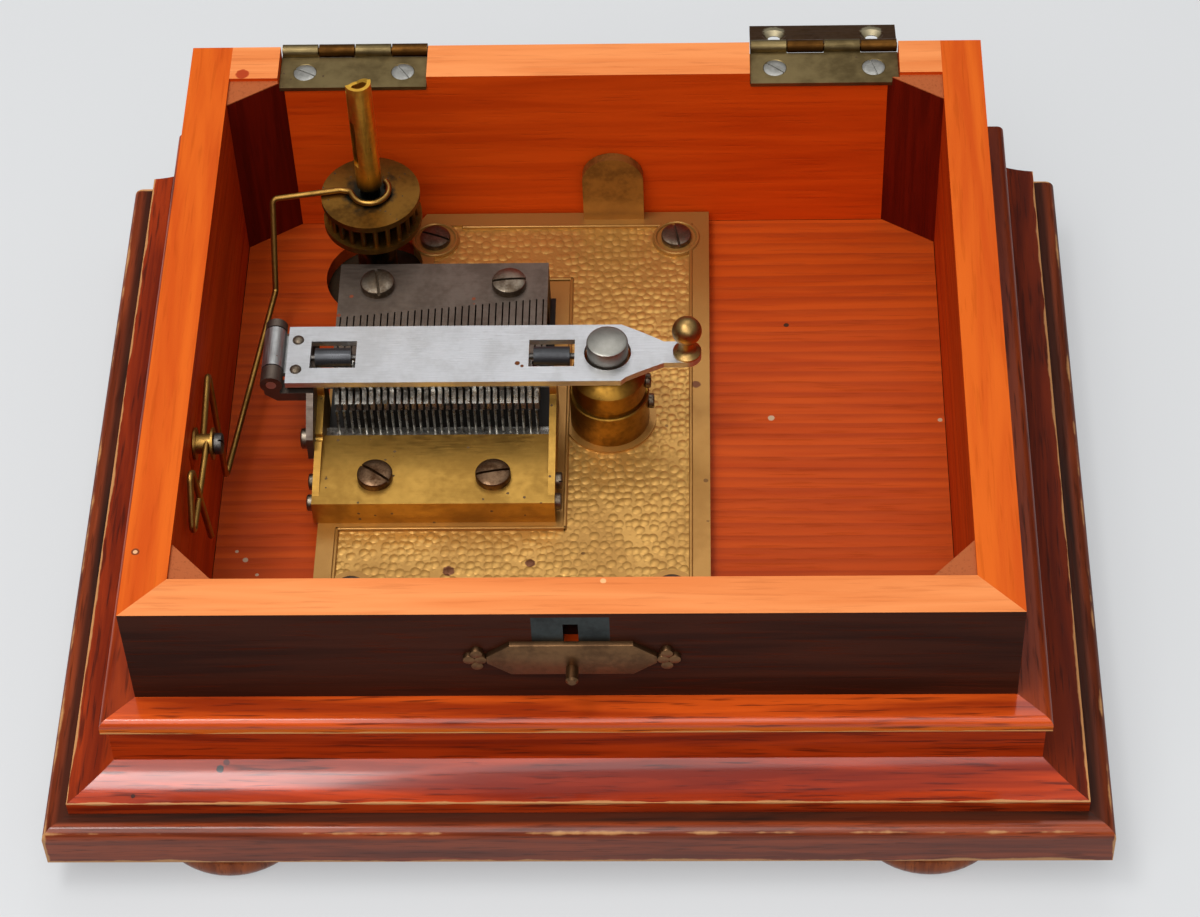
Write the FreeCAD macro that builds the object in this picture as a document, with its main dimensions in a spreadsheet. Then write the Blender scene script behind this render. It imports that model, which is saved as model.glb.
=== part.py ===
import FreeCAD, Part
import math
import os
from FreeCAD import Placement, Rotation, Vector

# Disc music box in a moulded wooden case, lid and disc taken off.
# Millimetres. +X right, +Y back, +Z up, origin on the table under the middle of the overall box.

# Driving dimensions, one named value each.
SIZES = {
    # Wooden case
    "case_width": 236.0,
    "case_depth": 213.5,
    "case_height": 62.7,
    "wall_thick": 12.0,
    "back_wall_thick": 13.4,
    "wall_rise": 36.2,
    "foot_height": 11.5,
    "foot_radius": 23.0,
    "foot_front_from_side": 48.6,
    "foot_back_from_side": 25.6,
    "foot_from_edge": 23.6,
    "base_thick": 13.5,
    "base_overhang": 26.6,
    "base_back_overhang": 2.2,
    "base_round": 3.0,
    "floor_thick": 5.0,
    "floor_clear": 0.2,
    "floor_hole_radius": 16.5,
    "cap_overhang": 9.1,
    "cap_thick": 4.3,
    "plinth_overhang": 19.7,
    "plinth_riser_overhang": 7.5,
    "plinth_lip": 4.5,
    "plinth_slope_rise": 3.4,
    "corner_front_x": 12.0,
    "corner_front_y": 12.5,
    "corner_back_x": 16.0,
    "corner_back_y": 10.0,
    "corner_drop": 1.2,
    # Lid hinges
    "hinge_length": 44.0,
    "hinge_leaf_width": 15.2,
    "hinge_thick": 1.3,
    "hinge_sink": 4.8,
    "hinge_clear": 0.2,
    "left_hinge_from_side": 26.6,
    "right_hinge_from_side": 24.7,
    "knuckle_radius": 1.95,
    "hinge_pin_radius": 0.9,
    "hinge_axis_out": 1.2,
    "left_leaf_droop": 55.0,
    "right_leaf_droop": 17.0,
    "hinge_screw_from_end": 7.3,
    "hinge_screw_from_edge": 6.6,
    "hinge_screw_radius": 3.5,
    "hinge_screw_shank": 1.4,
    "hinge_screw_length": 9.0,
    # Lid catch on the front wall
    "catch_length": 45.0,
    "catch_height": 12.6,
    "catch_thick": 1.6,
    "catch_below_rim": 18.2,
    "catch_finial_radius": 1.7,
    "catch_box_width": 20.5,
    "catch_box_height": 14.0,
    "catch_box_depth": 6.0,
    "catch_slot_width": 4.0,
    "catch_box_below_rim": 1.6,
    "button_radius": 1.7,
    "button_reach": 4.6,
    "button_below_rim": 21.9,
    "button_flange_radius": 3.0,
    "button_travel": 2.0,
    "button_bore_depth": 9.4,
    # Cast bedplate
    "post_from_left": 113.3,
    "post_from_back": 83.8,
    "plate_thick": 4.7,
    "plate_right": 29.3,
    "plate_left": 83.5,
    "plate_front": 72.0,
    "plate_back_gap": 0.8,
    "plate_border": 5.0,
    "plate_field_depth": 0.8,
    "plate_notch_front": 42.0,
    "plate_ear": 55.0,
    "plate_ear_radius": 6.8,
    "plate_frame": 7.0,
    "plate_frame_front": 2.0,
    "plate_boss_radius": 7.4,
    "plate_screw_radius": 4.6,
    "plate_screw_height": 2.2,
    "plate_screw_shank": 1.8,
    "plate_screw_length": 8.6,
    "plate_screw_inset": 11.0,
    "plate_screw_front_inset": 7.5,
    "lug_width": 18.6,
    "lug_height": 26.0,
    "lug_thick": 3.0,
    # Star wheels, gantry and dampers
    "note_count": 30.0,
    "note_pitch": 2.0,
    "comb_centre_left": 49.9,
    "star_radius": 7.6,
    "star_root_radius": 4.4,
    "star_points": 8.0,
    "star_thick": 1.2,
    "axle_radius": 1.25,
    "axle_height": 15.2,
    "running_clear": 0.05,
    "gantry_depth": 25.7,
    "gantry_height": 8.7,
    "gantry_setback": 13.9,
    "gantry_margin": 2.8,
    "cheek_thick": 2.0,
    "cheek_head_radius": 4.2,
    "gantry_screw_radius": 5.1,
    "gantry_screw_height": 2.8,
    "gantry_screw_shank": 2.4,
    "gantry_screw_spacing": 34.0,
    "cheek_screw_radius": 2.4,
    "cheek_screw_height": 2.0,
    "cheek_screw_shank": 1.2,
    "cheek_screw_bite": 5.0,
    "damper_radius": 0.4,
    "damper_height": 13.4,
    "damper_gap": 0.6,
    # Comb
    "comb_thick": 2.4,
    "comb_tooth_thick": 1.2,
    "comb_margin": 1.2,
    "comb_length": 39.2,
    "comb_tip_gap": 0.4,
    "comb_slit": 0.45,
    "comb_slit_treble": 17.9,
    "comb_slit_bass": 24.5,
    "comb_screw_back": 9.0,
    # Centre post
    "post_radius": 11.6,
    "post_upper_radius": 10.8,
    "post_groove_radius": 10.2,
    "post_lower_height": 11.8,
    "post_groove_height": 1.1,
    "post_height": 22.9,
    "post_chamfer": 3.2,
    "spindle_radius": 6.0,
    "spindle_reach": 5.1,
    "post_screw_radius": 2.2,
    "post_screw_height": 1.6,
    "post_screw_bite": 5.0,
    # Pressure bar
    "bar_height": 28.4,
    "bar_thick": 2.0,
    "bar_width": 21.6,
    "bar_left": 92.5,
    "bar_shoulder": 5.3,
    "bar_tail": 22.9,
    "bar_tail_width": 8.2,
    "bar_hole_clear": 0.8,
    "bar_axis_left": 96.5,
    "bar_knuckle_radius": 3.2,
    "bar_pin_radius": 1.5,
    "bar_leaf_thick": 1.5,
    "bar_leaf_length": 5.2,
    "window_length": 15.2,
    "window_width": 10.2,
    "window_outer_left": 79.2,
    "window_inner_left": 16.1,
    "roller_radius": 2.8,
    "roller_length": 10.4,
    "roller_pin_radius": 0.9,
    "roller_drop": 0.4,
    "ear_thick": 1.0,
    "rivet_radius": 1.7,
    "bracket_thick": 2.0,
    "bracket_screw_radius": 3.0,
    "bracket_screw_height": 2.2,
    "bracket_foot_back": 6.0,
    "knob_ball_radius": 4.3,
    "knob_flange_radius": 4.1,
    "knob_neck_radius": 2.2,
    "knob_height": 13.4,
    # Sprocket, winding tube and brake wire
    "sprocket_left": 71.8,
    "sprocket_back": 61.1,
    "sprocket_radius": 14.8,
    "sprocket_height": 11.4,
    "sprocket_raise": 25.6,
    "sprocket_plate_thick": 2.0,
    "sprocket_bar_count": 22.0,
    "sprocket_bar_radius": 0.8,
    "sprocket_bar_circle": 12.9,
    "sleeve_radius": 6.0,
    "tube_radius": 3.8,
    "tube_bore_radius": 2.7,
    "tube_length": 41.5,
    "tube_neck": 4.0,
    "tube_ramp": 3.2,
    "tube_slot_width": 2.0,
    "tube_slot_length": 18.0,
    "tube_slot_from_top": 14.0,
    "arbor_radius": 3.0,
    "wire_radius": 0.9,
    "wire_bend": 1.7,
    "wire_clear": 0.3,
    "hook_clear": 0.9,
    "wire_pivot_from_front": 57.7,
    "wire_pivot_below_rim": 13.7,
    "wire_pivot_out": 2.2,
    "wire_screw_radius": 3.0,
    "wire_screw_shank": 1.6,
    "wire_screw_height": 2.4,
    "wire_screw_bite": 8.0,
    "wire_arm_start": 9.0,
    "wire_arm_reach": 29.0,
    "wire_arm_slant": 3.5,
    "wire_drop_reach": 29.4,
    "wire_drop_run": 18.6,
    "wire_drop": 24.2,
    "wire_vee_out": 1.3,
    "wire_vee_back": 16.8,
    "wire_vee_drop": 35.0,
    "wire_crest_back": 23.2,
    "wire_crest_rise": 3.6,
    "wire_tail_front": 31.0,
    "wire_tail_drop": 4.0,
    "wire_loop_front": 18.0,
    "wire_loop_rise": 13.5,
    "wire_end_out": 2.0,
    "wire_end_front": 17.5,
    "wire_end_drop": 19.0,
    "wire_seat": 1.9,
    "spool_radius": 2.8,
    "spool_flange_radius": 4.5,
    "spool_flange_thick": 0.6,
    "spool_length": 5.4,
    "wire_slot_width": 4.0,
    "wire_slot_height": 14.0,
    # Spring motor under the floor
    "motor_plate_thick": 1.8,
    "motor_gap": 13.4,
    "motor_pillar_radius": 3.0,
    "pillar_bite": 3.0,
    "motor_side": 30.0,
    "motor_train_reach": 56.0,
    "barrel_radius": 23.5,
    "barrel_wall": 1.2,
    "barrel_height": 9.2,
    "great_teeth": 65.0,
    "great_module": 0.8,
    "great_thick": 1.8,
    "train_pinion_teeth": 10.0,
    "train_teeth": 50.0,
    "train_module": 0.6,
    "train_thick": 1.3,
    "fly_pinion_teeth": 8.0,
    "fly_reach": 8.4,
    "fly_height": 7.0,
    "fly_thick": 0.8,
    "gear_backlash": 0.34,
    "motor_arbor_radius": 1.1,
    "spring_turns": 8.0,
    "spring_strip": 0.6,
    "ratchet_radius": 9.0,
    "ratchet_teeth": 16.0,
    "ratchet_depth": 1.6,
    "ratchet_thick": 1.8,
    "click_clear": 0.3,
    "click_length": 7.0,
    "layer_clear": 0.4,
}

PLAN = Rotation()
FRONT = Rotation(Vector(1, 0, 0), 90)
SIDE = Rotation(Vector(0, 0, 1), 90).multiply(FRONT)

doc = FreeCAD.newDocument("disc_music_box")
sheet = doc.addObject("Spreadsheet::Sheet", "dims")
for row, (alias, amount) in enumerate(SIZES.items(), start=1):
    sheet.set(f"A{row}", alias)
    sheet.set(f"B{row}", str(amount))
    sheet.setAlias(f"B{row}", alias)
doc.recompute()


class Sizes:
    """The sheet's values by name."""

    def __getattr__(self, name):
        return float(sheet.get(name))


S = Sizes()
NODES = []


# Helpers for outlines and solids

def outline(start, *steps):
    """Closed outline: a pair of numbers is a straight run, a pair of points an arc through the first."""
    edges = []
    here = Vector(start[0], start[1], 0)
    for step in steps + (start,):
        if isinstance(step[0], tuple):
            middle, end = (Vector(point[0], point[1], 0) for point in step)
            edges.append(Part.Arc(here, middle, end))
        else:
            end = Vector(step[0], step[1], 0)
            if (end - here).Length > 1e-6:
                edges.append(Part.LineSegment(here, end))
        here = end
    return edges


def rectangle(left, front, right, back):
    return outline((left, front), (right, front), (right, back), (left, back))


def circle(x, y, radius):
    return [Part.Circle(Vector(x, y, 0), Vector(0, 0, 1), radius)]


def sketched(label, edges):
    body = doc.addObject("PartDesign::Body", label)
    sketch = body.newObject("Sketcher::SketchObject", label + "_outline")
    plane = next(item for item in body.Origin.OriginFeatures if item.Role == "XY_Plane")
    sketch.AttachmentSupport = [(plane, "")]
    sketch.MapMode = "FlatFace"
    sketch.addGeometry(edges, False)
    return body, sketch


def padded(label, edges, length, base, turn=PLAN):
    """Outline pushed out along its own normal; length is an expression on the sheet."""
    body, sketch = sketched(label, edges)
    pad = body.newObject("PartDesign::Pad", label + "_pad")
    pad.Profile = sketch
    pad.setExpression("Length", length)
    body.Placement = Placement(Vector(*base), turn)
    return body


def turned(label, edges, base, turn=FRONT):
    """Half profile turned about its own upright axis."""
    body, sketch = sketched(label, edges)
    revolution = body.newObject("PartDesign::Revolution", label + "_turning")
    revolution.Profile = sketch
    revolution.ReferenceAxis = (sketch, ["V_Axis"])
    revolution.Angle = 360.0
    body.Placement = Placement(Vector(*base), turn)
    return body


def block(label, length, width, height, base):
    """Box whose three sizes are expressions on the sheet."""
    box = doc.addObject("Part::Box", label)
    box.setExpression("Length", length)
    box.setExpression("Width", width)
    box.setExpression("Height", height)
    box.Placement = Placement(Vector(*base), PLAN)
    return box


def rod(label, radius, height, base, turn=PLAN):
    """Cylinder whose radius and height are expressions on the sheet."""
    cylinder = doc.addObject("Part::Cylinder", label)
    cylinder.setExpression("Radius", radius)
    cylinder.setExpression("Height", height)
    cylinder.Placement = Placement(Vector(*base), turn)
    return cylinder


def cut(label, base, *tools):
    tool = tools[0] if len(tools) == 1 else fused(label + "_tools", *tools)
    result = doc.addObject("Part::Cut", label)
    result.Base = base
    result.Tool = tool
    return result


def fused(label, *parts):
    result = doc.addObject("Part::MultiFuse", label)
    result.Shapes = list(parts)
    return result


def node(label, item):
    """Name a finished piece; its label is its file's name."""
    item.Label = label
    NODES.append(item)
    return item


def grouped(label, master, placements):
    """Several like solids in one piece list, each a copy of the master shape."""
    doc.recompute()
    solids = []
    for place in placements:
        copy = master.Shape.copy()
        copy.Placement = place.multiply(copy.Placement)
        solids.append(copy)
    group = doc.addObject("Part::Feature", label)
    group.Shape = Part.makeCompound(solids)
    return node(label, group)


def at(x, y, z, turn=PLAN):
    return Placement(Vector(x, y, z), turn)


def screw(label, head_radius, head_height, shank_radius, shank_length):
    """Cheese-head screw with its head's seat at the origin and its shank downwards."""
    edges = outline((0, -shank_length), (shank_radius, -shank_length), (shank_radius, 0),
                    (head_radius, 0), (head_radius, head_height), (0, head_height))
    return turned(label, edges, (0, 0, 0))


def toothed(count, module, backlash):
    """Straight-flanked wheel outline with room for the mating teeth."""
    pitch_radius = count * module / 2
    tip, root = pitch_radius + 0.8 * module, pitch_radius - 1.15 * module
    half = math.pi / (2 * count) - backlash / (2 * pitch_radius)
    points = []
    for tooth in range(int(count)):
        middle = 2 * math.pi * tooth / count
        for radius, share in ((root, -1.45), (tip, -0.5), (tip, 0.5), (root, 1.45)):
            angle = middle + share * half
            points.append((radius * math.cos(angle), radius * math.sin(angle)))
    return outline(points[0], *points[1:])


def bent_wire(points, bend):
    """Path of straight runs joined by tangent arcs."""
    points = [Vector(*point) for point in points]
    edges = []
    here = points[0]
    for before, corner, after in zip(points, points[1:], points[2:]):
        back = (before - corner).normalize()
        ahead = (after - corner).normalize()
        half_turn = (math.pi - back.getAngle(ahead)) / 2
        trim = bend * math.tan(half_turn)
        middle = (back + ahead).normalize()
        start, end = corner + back * trim, corner + ahead * trim
        apex = corner + middle * (bend / math.cos(half_turn) - bend)
        edges += [Part.LineSegment(here, start).toShape(), Part.Arc(start, apex, end).toShape()]
        here = end
    edges.append(Part.LineSegment(here, points[-1]).toShape())
    return Part.Wire(edges)


def piped(path, radius):
    start = path.Edges[0]
    tangent = start.tangentAt(start.FirstParameter)
    ring = Part.Wire(Part.Circle(start.valueAt(start.FirstParameter), tangent, radius).toShape())
    return path.makePipeShell([ring], True, False)


# Places that several pieces share

droop = math.radians(S.right_leaf_droop)
front_reach = S.case_depth / 2 + S.base_overhang
back_reach = (S.case_depth / 2 + S.hinge_axis_out + S.hinge_leaf_width * math.cos(droop)
              - (S.knuckle_radius - S.hinge_thick) * math.sin(droop))
case_y = (front_reach - back_reach) / 2
half_width = S.case_width / 2
front_y = case_y - S.case_depth / 2
back_y = case_y + S.case_depth / 2
left_inner = S.wall_thick - half_width
right_inner = half_width - S.wall_thick
front_inner = front_y + S.wall_thick
back_inner = back_y - S.back_wall_thick
floor_z = S.foot_height + S.base_thick
rim_z = floor_z + S.case_height
cap_z = rim_z - S.wall_rise
post_x = left_inner + S.post_from_left
post_y = back_inner - S.post_from_back
plate_z = floor_z + S.plate_thick
comb_x = post_x - S.comb_centre_left
axle_z = plate_z + S.axle_height
drive_x = post_x - S.sprocket_left
drive_y = post_y + S.sprocket_back
notes = int(S.note_count)
note_left = comb_x - S.note_pitch * (notes - 1) / 2


def note_x(index):
    return note_left + S.note_pitch * index


# Wooden case

def build_base(pilots):
    length = "dims.case_width + 2 * dims.base_overhang"
    width = "dims.case_depth + dims.base_overhang + dims.base_back_overhang"
    left = -half_width - S.base_overhang
    front = front_y - S.base_overhang
    board = block("base_blank", length, width, "dims.base_thick", (left, front, S.foot_height))
    doc.recompute()
    back = back_y + S.base_back_overhang
    rounded = []
    for index, edge in enumerate(board.Shape.Edges, start=1):
        middle = edge.CenterOfMass
        on_top = abs(middle.z - floor_z) < 0.01
        if on_top and abs(middle.y - back) > 0.01:
            rounded.append((index, S.base_round, S.base_round))
    fillet = doc.addObject("Part::Fillet", "base_rounded")
    fillet.Base = board
    fillet.Edges = rounded
    bed = block("floor_bed", "dims.case_width - 2 * dims.wall_thick",
                "dims.case_depth - dims.wall_thick - dims.back_wall_thick", "dims.floor_thick",
                (left_inner, front_inner, floor_z - S.floor_thick))
    well_clear = S.motor_side + 2 * S.layer_clear
    well = padded("motor_well", rectangle(drive_x - well_clear, drive_y - well_clear,
                                          drive_x + S.motor_train_reach + 2 * S.layer_clear,
                                          drive_y + well_clear),
                  "dims.base_thick - dims.floor_thick", (0, 0, S.foot_height))
    node("base_board", cut("base_cut", fillet, bed, well, *pilots))


def build_floor(drillings):
    clear = S.floor_clear
    board = block("floor_blank", "dims.case_width - 2 * dims.wall_thick - 2 * dims.floor_clear",
                  "dims.case_depth - dims.wall_thick - dims.back_wall_thick - 2 * dims.floor_clear",
                  "dims.floor_thick", (left_inner + clear, front_inner + clear, floor_z - S.floor_thick))
    hole = rod("floor_hole", "dims.floor_hole_radius", "dims.floor_thick",
               (drive_x, drive_y, floor_z - S.floor_thick))
    node("floor_board", cut("floor_cut", board, hole, *drillings))


def build_feet():
    neck = S.foot_radius - S.foot_height * 0.42
    foot = turned("foot_form", outline(
        (0, 0), (neck, 0), ((S.foot_radius, S.foot_height * 0.47), (neck, S.foot_height * 0.94)),
        (neck, S.foot_height), (0, S.foot_height)), (0, 0, 0))
    base_half = half_width + S.base_overhang
    front = (base_half - S.foot_front_from_side, front_y - S.base_overhang + S.foot_from_edge)
    back = (base_half - S.foot_back_from_side, back_y + S.base_back_overhang - S.foot_from_edge)
    grouped("bun_feet", foot, [at(side * x, y, 0) for side in (-1, 1) for x, y in (front, back)])


def mitred_run(section, reach, side, behind):
    """One run of a moulding, its ends mitred at the front corners; side 0 is the front run."""
    face = Part.Face(Part.Wire([edge.toShape() for edge in section]))
    outer = half_width + reach
    if side == 0:
        turn = Rotation(Vector(0, -1, 0), Vector(0, 0, 1), Vector(-1, 0, 0), "XYZ")
        face.Placement = Placement(Vector(-outer, front_y, 0), turn)
        run = face.extrude(Vector(2 * outer, 0, 0))
        plan = outline((-half_width, front_y), (half_width, front_y), (outer, front_y - reach),
                       (-outer, front_y - reach))
    else:
        turn = Rotation(Vector(side, 0, 0), Vector(0, 0, 1), Vector(0, -side, 0), "XYZ")
        face.Placement = Placement(Vector(side * half_width, front_y - reach, 0), turn)
        run = face.extrude(Vector(0, S.case_depth + reach + behind, 0))
        plan = outline((side * half_width, front_y), (side * outer, front_y - reach),
                       (side * outer, back_y + behind), (side * half_width, back_y + behind))
    mask = Part.Face(Part.Wire([edge.toShape() for edge in plan])).extrude(Vector(0, 0, rim_z))
    return run.common(mask).Solids[0]


def build_mouldings():
    lip = floor_z + S.plinth_lip
    foot_of_riser = lip + S.plinth_slope_rise
    under_cap = cap_z - S.cap_thick
    outer, riser = S.plinth_overhang, S.plinth_riser_overhang
    sag = (riser + 0.4 * (outer - riser), lip + 0.42 * S.plinth_slope_rise)
    plinth = outline((0, floor_z), (outer, floor_z), (outer, lip), (sag, (riser, foot_of_riser)),
                     (riser, under_cap), (0, under_cap))
    over, half = S.cap_overhang, S.cap_thick / 2
    bulge = (over - half * (1 - math.sqrt(0.5)), cap_z - half * (1 - math.sqrt(0.5)))
    cap = outline((0, under_cap), (over, under_cap), (over, cap_z - half), (bulge, (over - half, cap_z)),
                  (0, cap_z))
    for label, edges, reach, behind in (("plinth_moulding", plinth, outer, S.base_back_overhang),
                                        ("cap_moulding", cap, over, 0)):
        item = doc.addObject("Part::Feature", label)
        item.Shape = Part.makeCompound([mitred_run(edges, reach, side, behind) for side in (0, -1, 1)])
        node(label, item)


def build_walls(front_cuts, back_cuts, left_cuts):
    inner_left, inner_right = left_inner, right_inner
    front = padded("front_board", outline((-half_width, front_y), (half_width, front_y),
                                          (inner_right, front_inner), (inner_left, front_inner)),
                   "dims.case_height", (0, 0, floor_z))
    node("front_wall", cut("front_cut", front, *front_cuts))
    back = padded("back_board", rectangle(inner_left, back_inner, inner_right, back_y),
                  "dims.case_height", (0, 0, floor_z))
    node("back_wall", cut("back_cut", back, *back_cuts))
    for side, name in ((-1, "left"), (1, "right")):
        inner = side * right_inner
        wall = padded(name + "_board", outline((side * half_width, front_y), (inner, front_inner),
                                               (inner, back_y), (side * half_width, back_y)),
                      "dims.case_height", (0, 0, floor_z))
        node(name + "_wall", cut(name + "_cut", wall, *left_cuts) if side < 0 else wall)


def build_corner_blocks(mortises):
    blocks = []
    for side in (-1, 1):
        for inner, along, deep in ((front_inner, S.corner_front_x, S.corner_front_y),
                                   (back_inner, S.corner_back_x, -S.corner_back_y)):
            x = side * right_inner
            block_form = padded(f"corner_{len(blocks)}", outline((x, inner), (x - side * along, inner),
                                                                 (x, inner + deep)),
                                "dims.case_height - dims.corner_drop", (0, 0, floor_z))
            if deep < 0:
                block_form = cut(f"corner_notched_{len(blocks)}", block_form, *mortises)
            blocks.append(block_form)
    group = doc.addObject("Part::Compound", "corner_group")
    group.Links = blocks
    node("corner_blocks", group)


# Lid hinges

def hinge_axis():
    return back_y + S.hinge_axis_out, rim_z - S.hinge_sink + S.knuckle_radius


def hinge_middle(side):
    from_side = S.left_hinge_from_side if side < 0 else S.right_hinge_from_side
    return side * (half_width - from_side - S.hinge_length / 2)


def knuckles(label, middle, which, gap):
    """Two of the four knuckles on the hinge's axis, bored for its pin."""
    axis_y, axis_z = hinge_axis()
    part = S.hinge_length / 4
    pieces = []
    for index in which:
        start = middle - S.hinge_length / 2 + index * part + gap / 2
        tube = circle(0, 0, S.knuckle_radius) + circle(0, 0, S.hinge_pin_radius + S.running_clear)
        pieces.append(padded(f"{label}_knuckle_{index}", tube, "dims.hinge_length / 4 - dims.layer_clear",
                             (start, axis_y, axis_z), SIDE))
    return pieces


def leaf_relief(label, middle, which):
    """Room in a leaf for the other leaf's knuckles."""
    axis_y, axis_z = hinge_axis()
    part = S.hinge_length / 4
    cuts = []
    for index in which:
        start = middle - S.hinge_length / 2 + index * part
        cuts.append(rod(f"{label}_relief_{index}", "dims.knuckle_radius + dims.layer_clear",
                        "dims.hinge_length / 4", (start, axis_y, axis_z), SIDE))
    return cuts


def countersink(label, place):
    """Hole and cone for a countersunk screw head, mouth at the origin facing up."""
    head, shank, deep = S.hinge_screw_radius, S.hinge_screw_shank, S.hinge_thick
    form = turned(label, outline((0, -deep * 2), (shank + 0.4, -deep * 2), (shank + 0.4, 0.2 - deep),
                                 (head + 0.05, 0), (head + 0.05, deep), (0, deep)), (0, 0, 0))
    form.Placement = place.multiply(form.Placement)
    return form


def hinge_screw_offsets():
    reach = S.hinge_length / 2 - S.hinge_screw_from_end
    return -reach, reach


def hinge_leaf(name, middle, swing, own, other):
    """One leaf with its two knuckles: flat ahead of the axis, then swung round it."""
    axis_y, axis_z = hinge_axis()
    start = middle - S.hinge_length / 2
    set_out = Placement(Vector(start, axis_y, axis_z), swing)
    leaf = block(f"{name}_blank", "dims.hinge_length", "dims.hinge_leaf_width", "dims.hinge_thick",
                 (0, 0, 0))
    leaf.Placement = set_out.multiply(at(0, 0, -S.knuckle_radius))
    mouth_y = S.hinge_leaf_width - S.hinge_screw_from_edge
    mouth_z = S.hinge_thick - S.knuckle_radius
    holes = []
    for index, x in enumerate(hinge_screw_offsets()):
        mouth = set_out.multiply(at(S.hinge_length / 2 + x, mouth_y, mouth_z))
        holes.append(countersink(f"{name}_sink_{index}", mouth))
    bore = rod(f"{name}_bore", "dims.hinge_pin_radius + dims.running_clear", "dims.hinge_length",
               (start, axis_y, axis_z), SIDE)
    plate = cut(f"{name}_cut", leaf, bore, *leaf_relief(name, middle, other), *holes)
    return fused(f"{name}_form", plate, *knuckles(name, middle, own, S.layer_clear))


def build_hinges():
    """Both hinges, let into the rim by their whole thickness; returns the cuts this needs."""
    axis_y, axis_z = hinge_axis()
    leaf_top = rim_z - S.hinge_sink + S.hinge_thick
    pins, screws, mortises = [], [], []
    for side, name, angle in ((-1, "left", S.left_leaf_droop), (1, "right", S.right_leaf_droop)):
        middle = hinge_middle(side)
        start = middle - S.hinge_length / 2
        folded = hinge_leaf(f"{name}_fixed", middle, PLAN, (0, 2), (1, 3))
        flat = doc.addObject("Part::Mirroring", f"{name}_fixed_leaf")
        flat.Source = folded
        flat.Base = Vector(0, axis_y, 0)
        flat.Normal = Vector(0, 1, 0)
        node(f"hinge_leaf_{name}", flat)
        swing = Rotation(Vector(1, 0, 0), -angle)
        node(f"lid_leaf_{name}", hinge_leaf(f"{name}_lid", middle, swing, (1, 3), (0, 2)))
        pins.append(at(start, axis_y, axis_z, SIDE))
        screw_y = axis_y - S.hinge_leaf_width + S.hinge_screw_from_edge
        screws += [at(middle + x, screw_y, leaf_top) for x in hinge_screw_offsets()]
        mortises.append(block(f"{name}_mortise", "dims.hinge_length + 2 * dims.hinge_clear",
                              "dims.hinge_leaf_width + dims.hinge_clear + dims.knuckle_radius",
                              "dims.hinge_sink + dims.hinge_clear",
                              (start - S.hinge_clear, axis_y - S.hinge_leaf_width - S.hinge_clear,
                               rim_z - S.hinge_sink)))
    pin = rod("hinge_pin_form", "dims.hinge_pin_radius", "dims.hinge_length", (0, 0, 0))
    grouped("hinge_pins", pin, pins)
    head, shank = S.hinge_screw_radius, S.hinge_screw_shank
    form = turned("hinge_screw_form", outline((0, -S.hinge_screw_length), (shank, -S.hinge_screw_length),
                                              (shank, 0.3 - S.hinge_thick), (head, 0), (0, 0)), (0, 0, 0))
    grouped("hinge_screws", form, screws)
    pilots = [rod(f"hinge_pilot_{index}", "dims.hinge_screw_shank + dims.running_clear",
                  "dims.hinge_screw_length",
                  (place.Base.x, place.Base.y, place.Base.z - S.hinge_screw_length))
              for index, place in enumerate(screws)]
    return pilots, mortises


# Lid catch

def build_catch():
    plate_z_middle = rim_z - S.catch_below_rim
    button_z = rim_z - S.button_below_rim - plate_z_middle
    half, tall, lobe = S.catch_length / 2, S.catch_height / 2, S.catch_finial_radius
    waist, slope = lobe * 0.8, S.catch_height * 0.5
    edges = outline((-half, -waist), (slope - half, -tall), (half - slope, -tall), (half, -waist),
                    (half, waist), (half - slope, tall), (slope - half, tall), (-half, waist))
    back = (0, front_y, plate_z_middle)
    octagon = padded("catch_octagon", edges, "dims.catch_thick", back, FRONT)
    lobes = []
    for side in (-1, 1):
        for index, (along, up) in enumerate(((1.5, 1.5), (1.5, -1.5), (1.0, 0), (2.7, 0))):
            lobes.append(padded(f"catch_lobe_{side + 1}_{index}",
                                circle(side * (half + along * lobe), up * lobe, lobe),
                                "dims.catch_thick", back, FRONT))
    bore = rod("button_bore", "dims.button_radius + dims.running_clear", "2 * dims.catch_thick",
               (0, front_y + S.catch_thick / 2, plate_z_middle + button_z), FRONT)
    node("catch_plate", cut("catch_cut", fused("catch_form", octagon, *lobes), bore))

    box_top = rim_z - S.catch_box_below_rim
    base = (-S.catch_box_width / 2, front_y, box_top - S.catch_box_height)
    sizes = ("dims.catch_box_width", "dims.catch_box_depth", "dims.catch_box_height")
    box = block("catch_box_blank", *sizes, base)
    slot = block("catch_slot", "dims.catch_slot_width", "dims.catch_box_depth - 1",
                 "dims.catch_box_height - 3", (-S.catch_slot_width / 2, front_y, base[2]))
    node("catch_box", cut("catch_box_cut", box, slot))
    box_bed = block("catch_box_bed", *sizes, base)

    flange = 1.2
    rear = S.button_travel + flange + 0.8
    button = turned("catch_button_form", outline(
        (0, -rear), (S.button_flange_radius, -rear), (S.button_flange_radius, -0.2 - 0.2),
        (S.button_radius, -0.2 - 0.2), (S.button_radius, S.catch_thick + S.button_reach - 0.6),
        (S.button_radius - 0.6, S.catch_thick + S.button_reach), (0, S.catch_thick + S.button_reach)),
        (0, 0, 0), PLAN)
    button.Placement = at(0, front_y, plate_z_middle + button_z, Rotation(Vector(1, 0, 0), 180))
    node("catch_button", button)
    well = rod("button_well", "dims.button_flange_radius + dims.layer_clear", "dims.button_bore_depth",
               (0, front_y + S.button_bore_depth, plate_z_middle + button_z), FRONT)

    coil = S.button_flange_radius - 0.6
    room = S.button_bore_depth - rear
    helix = Part.makeHelix(room / 4.4, room - 0.8, coil)
    ring = Part.Wire(Part.Circle(Vector(coil, 0, 0), Vector(0, 1, 0), 0.3).toShape())
    spring = doc.addObject("Part::Feature", "catch_spring_form")
    spring.Shape = Part.Wire(helix.Edges).makePipeShell([ring], True, True)
    spring.Placement = at(0, front_y + S.button_bore_depth - 0.4, plate_z_middle + button_z, FRONT)
    node("catch_spring", spring)
    return [box_bed, well]


# Bedplate

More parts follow.
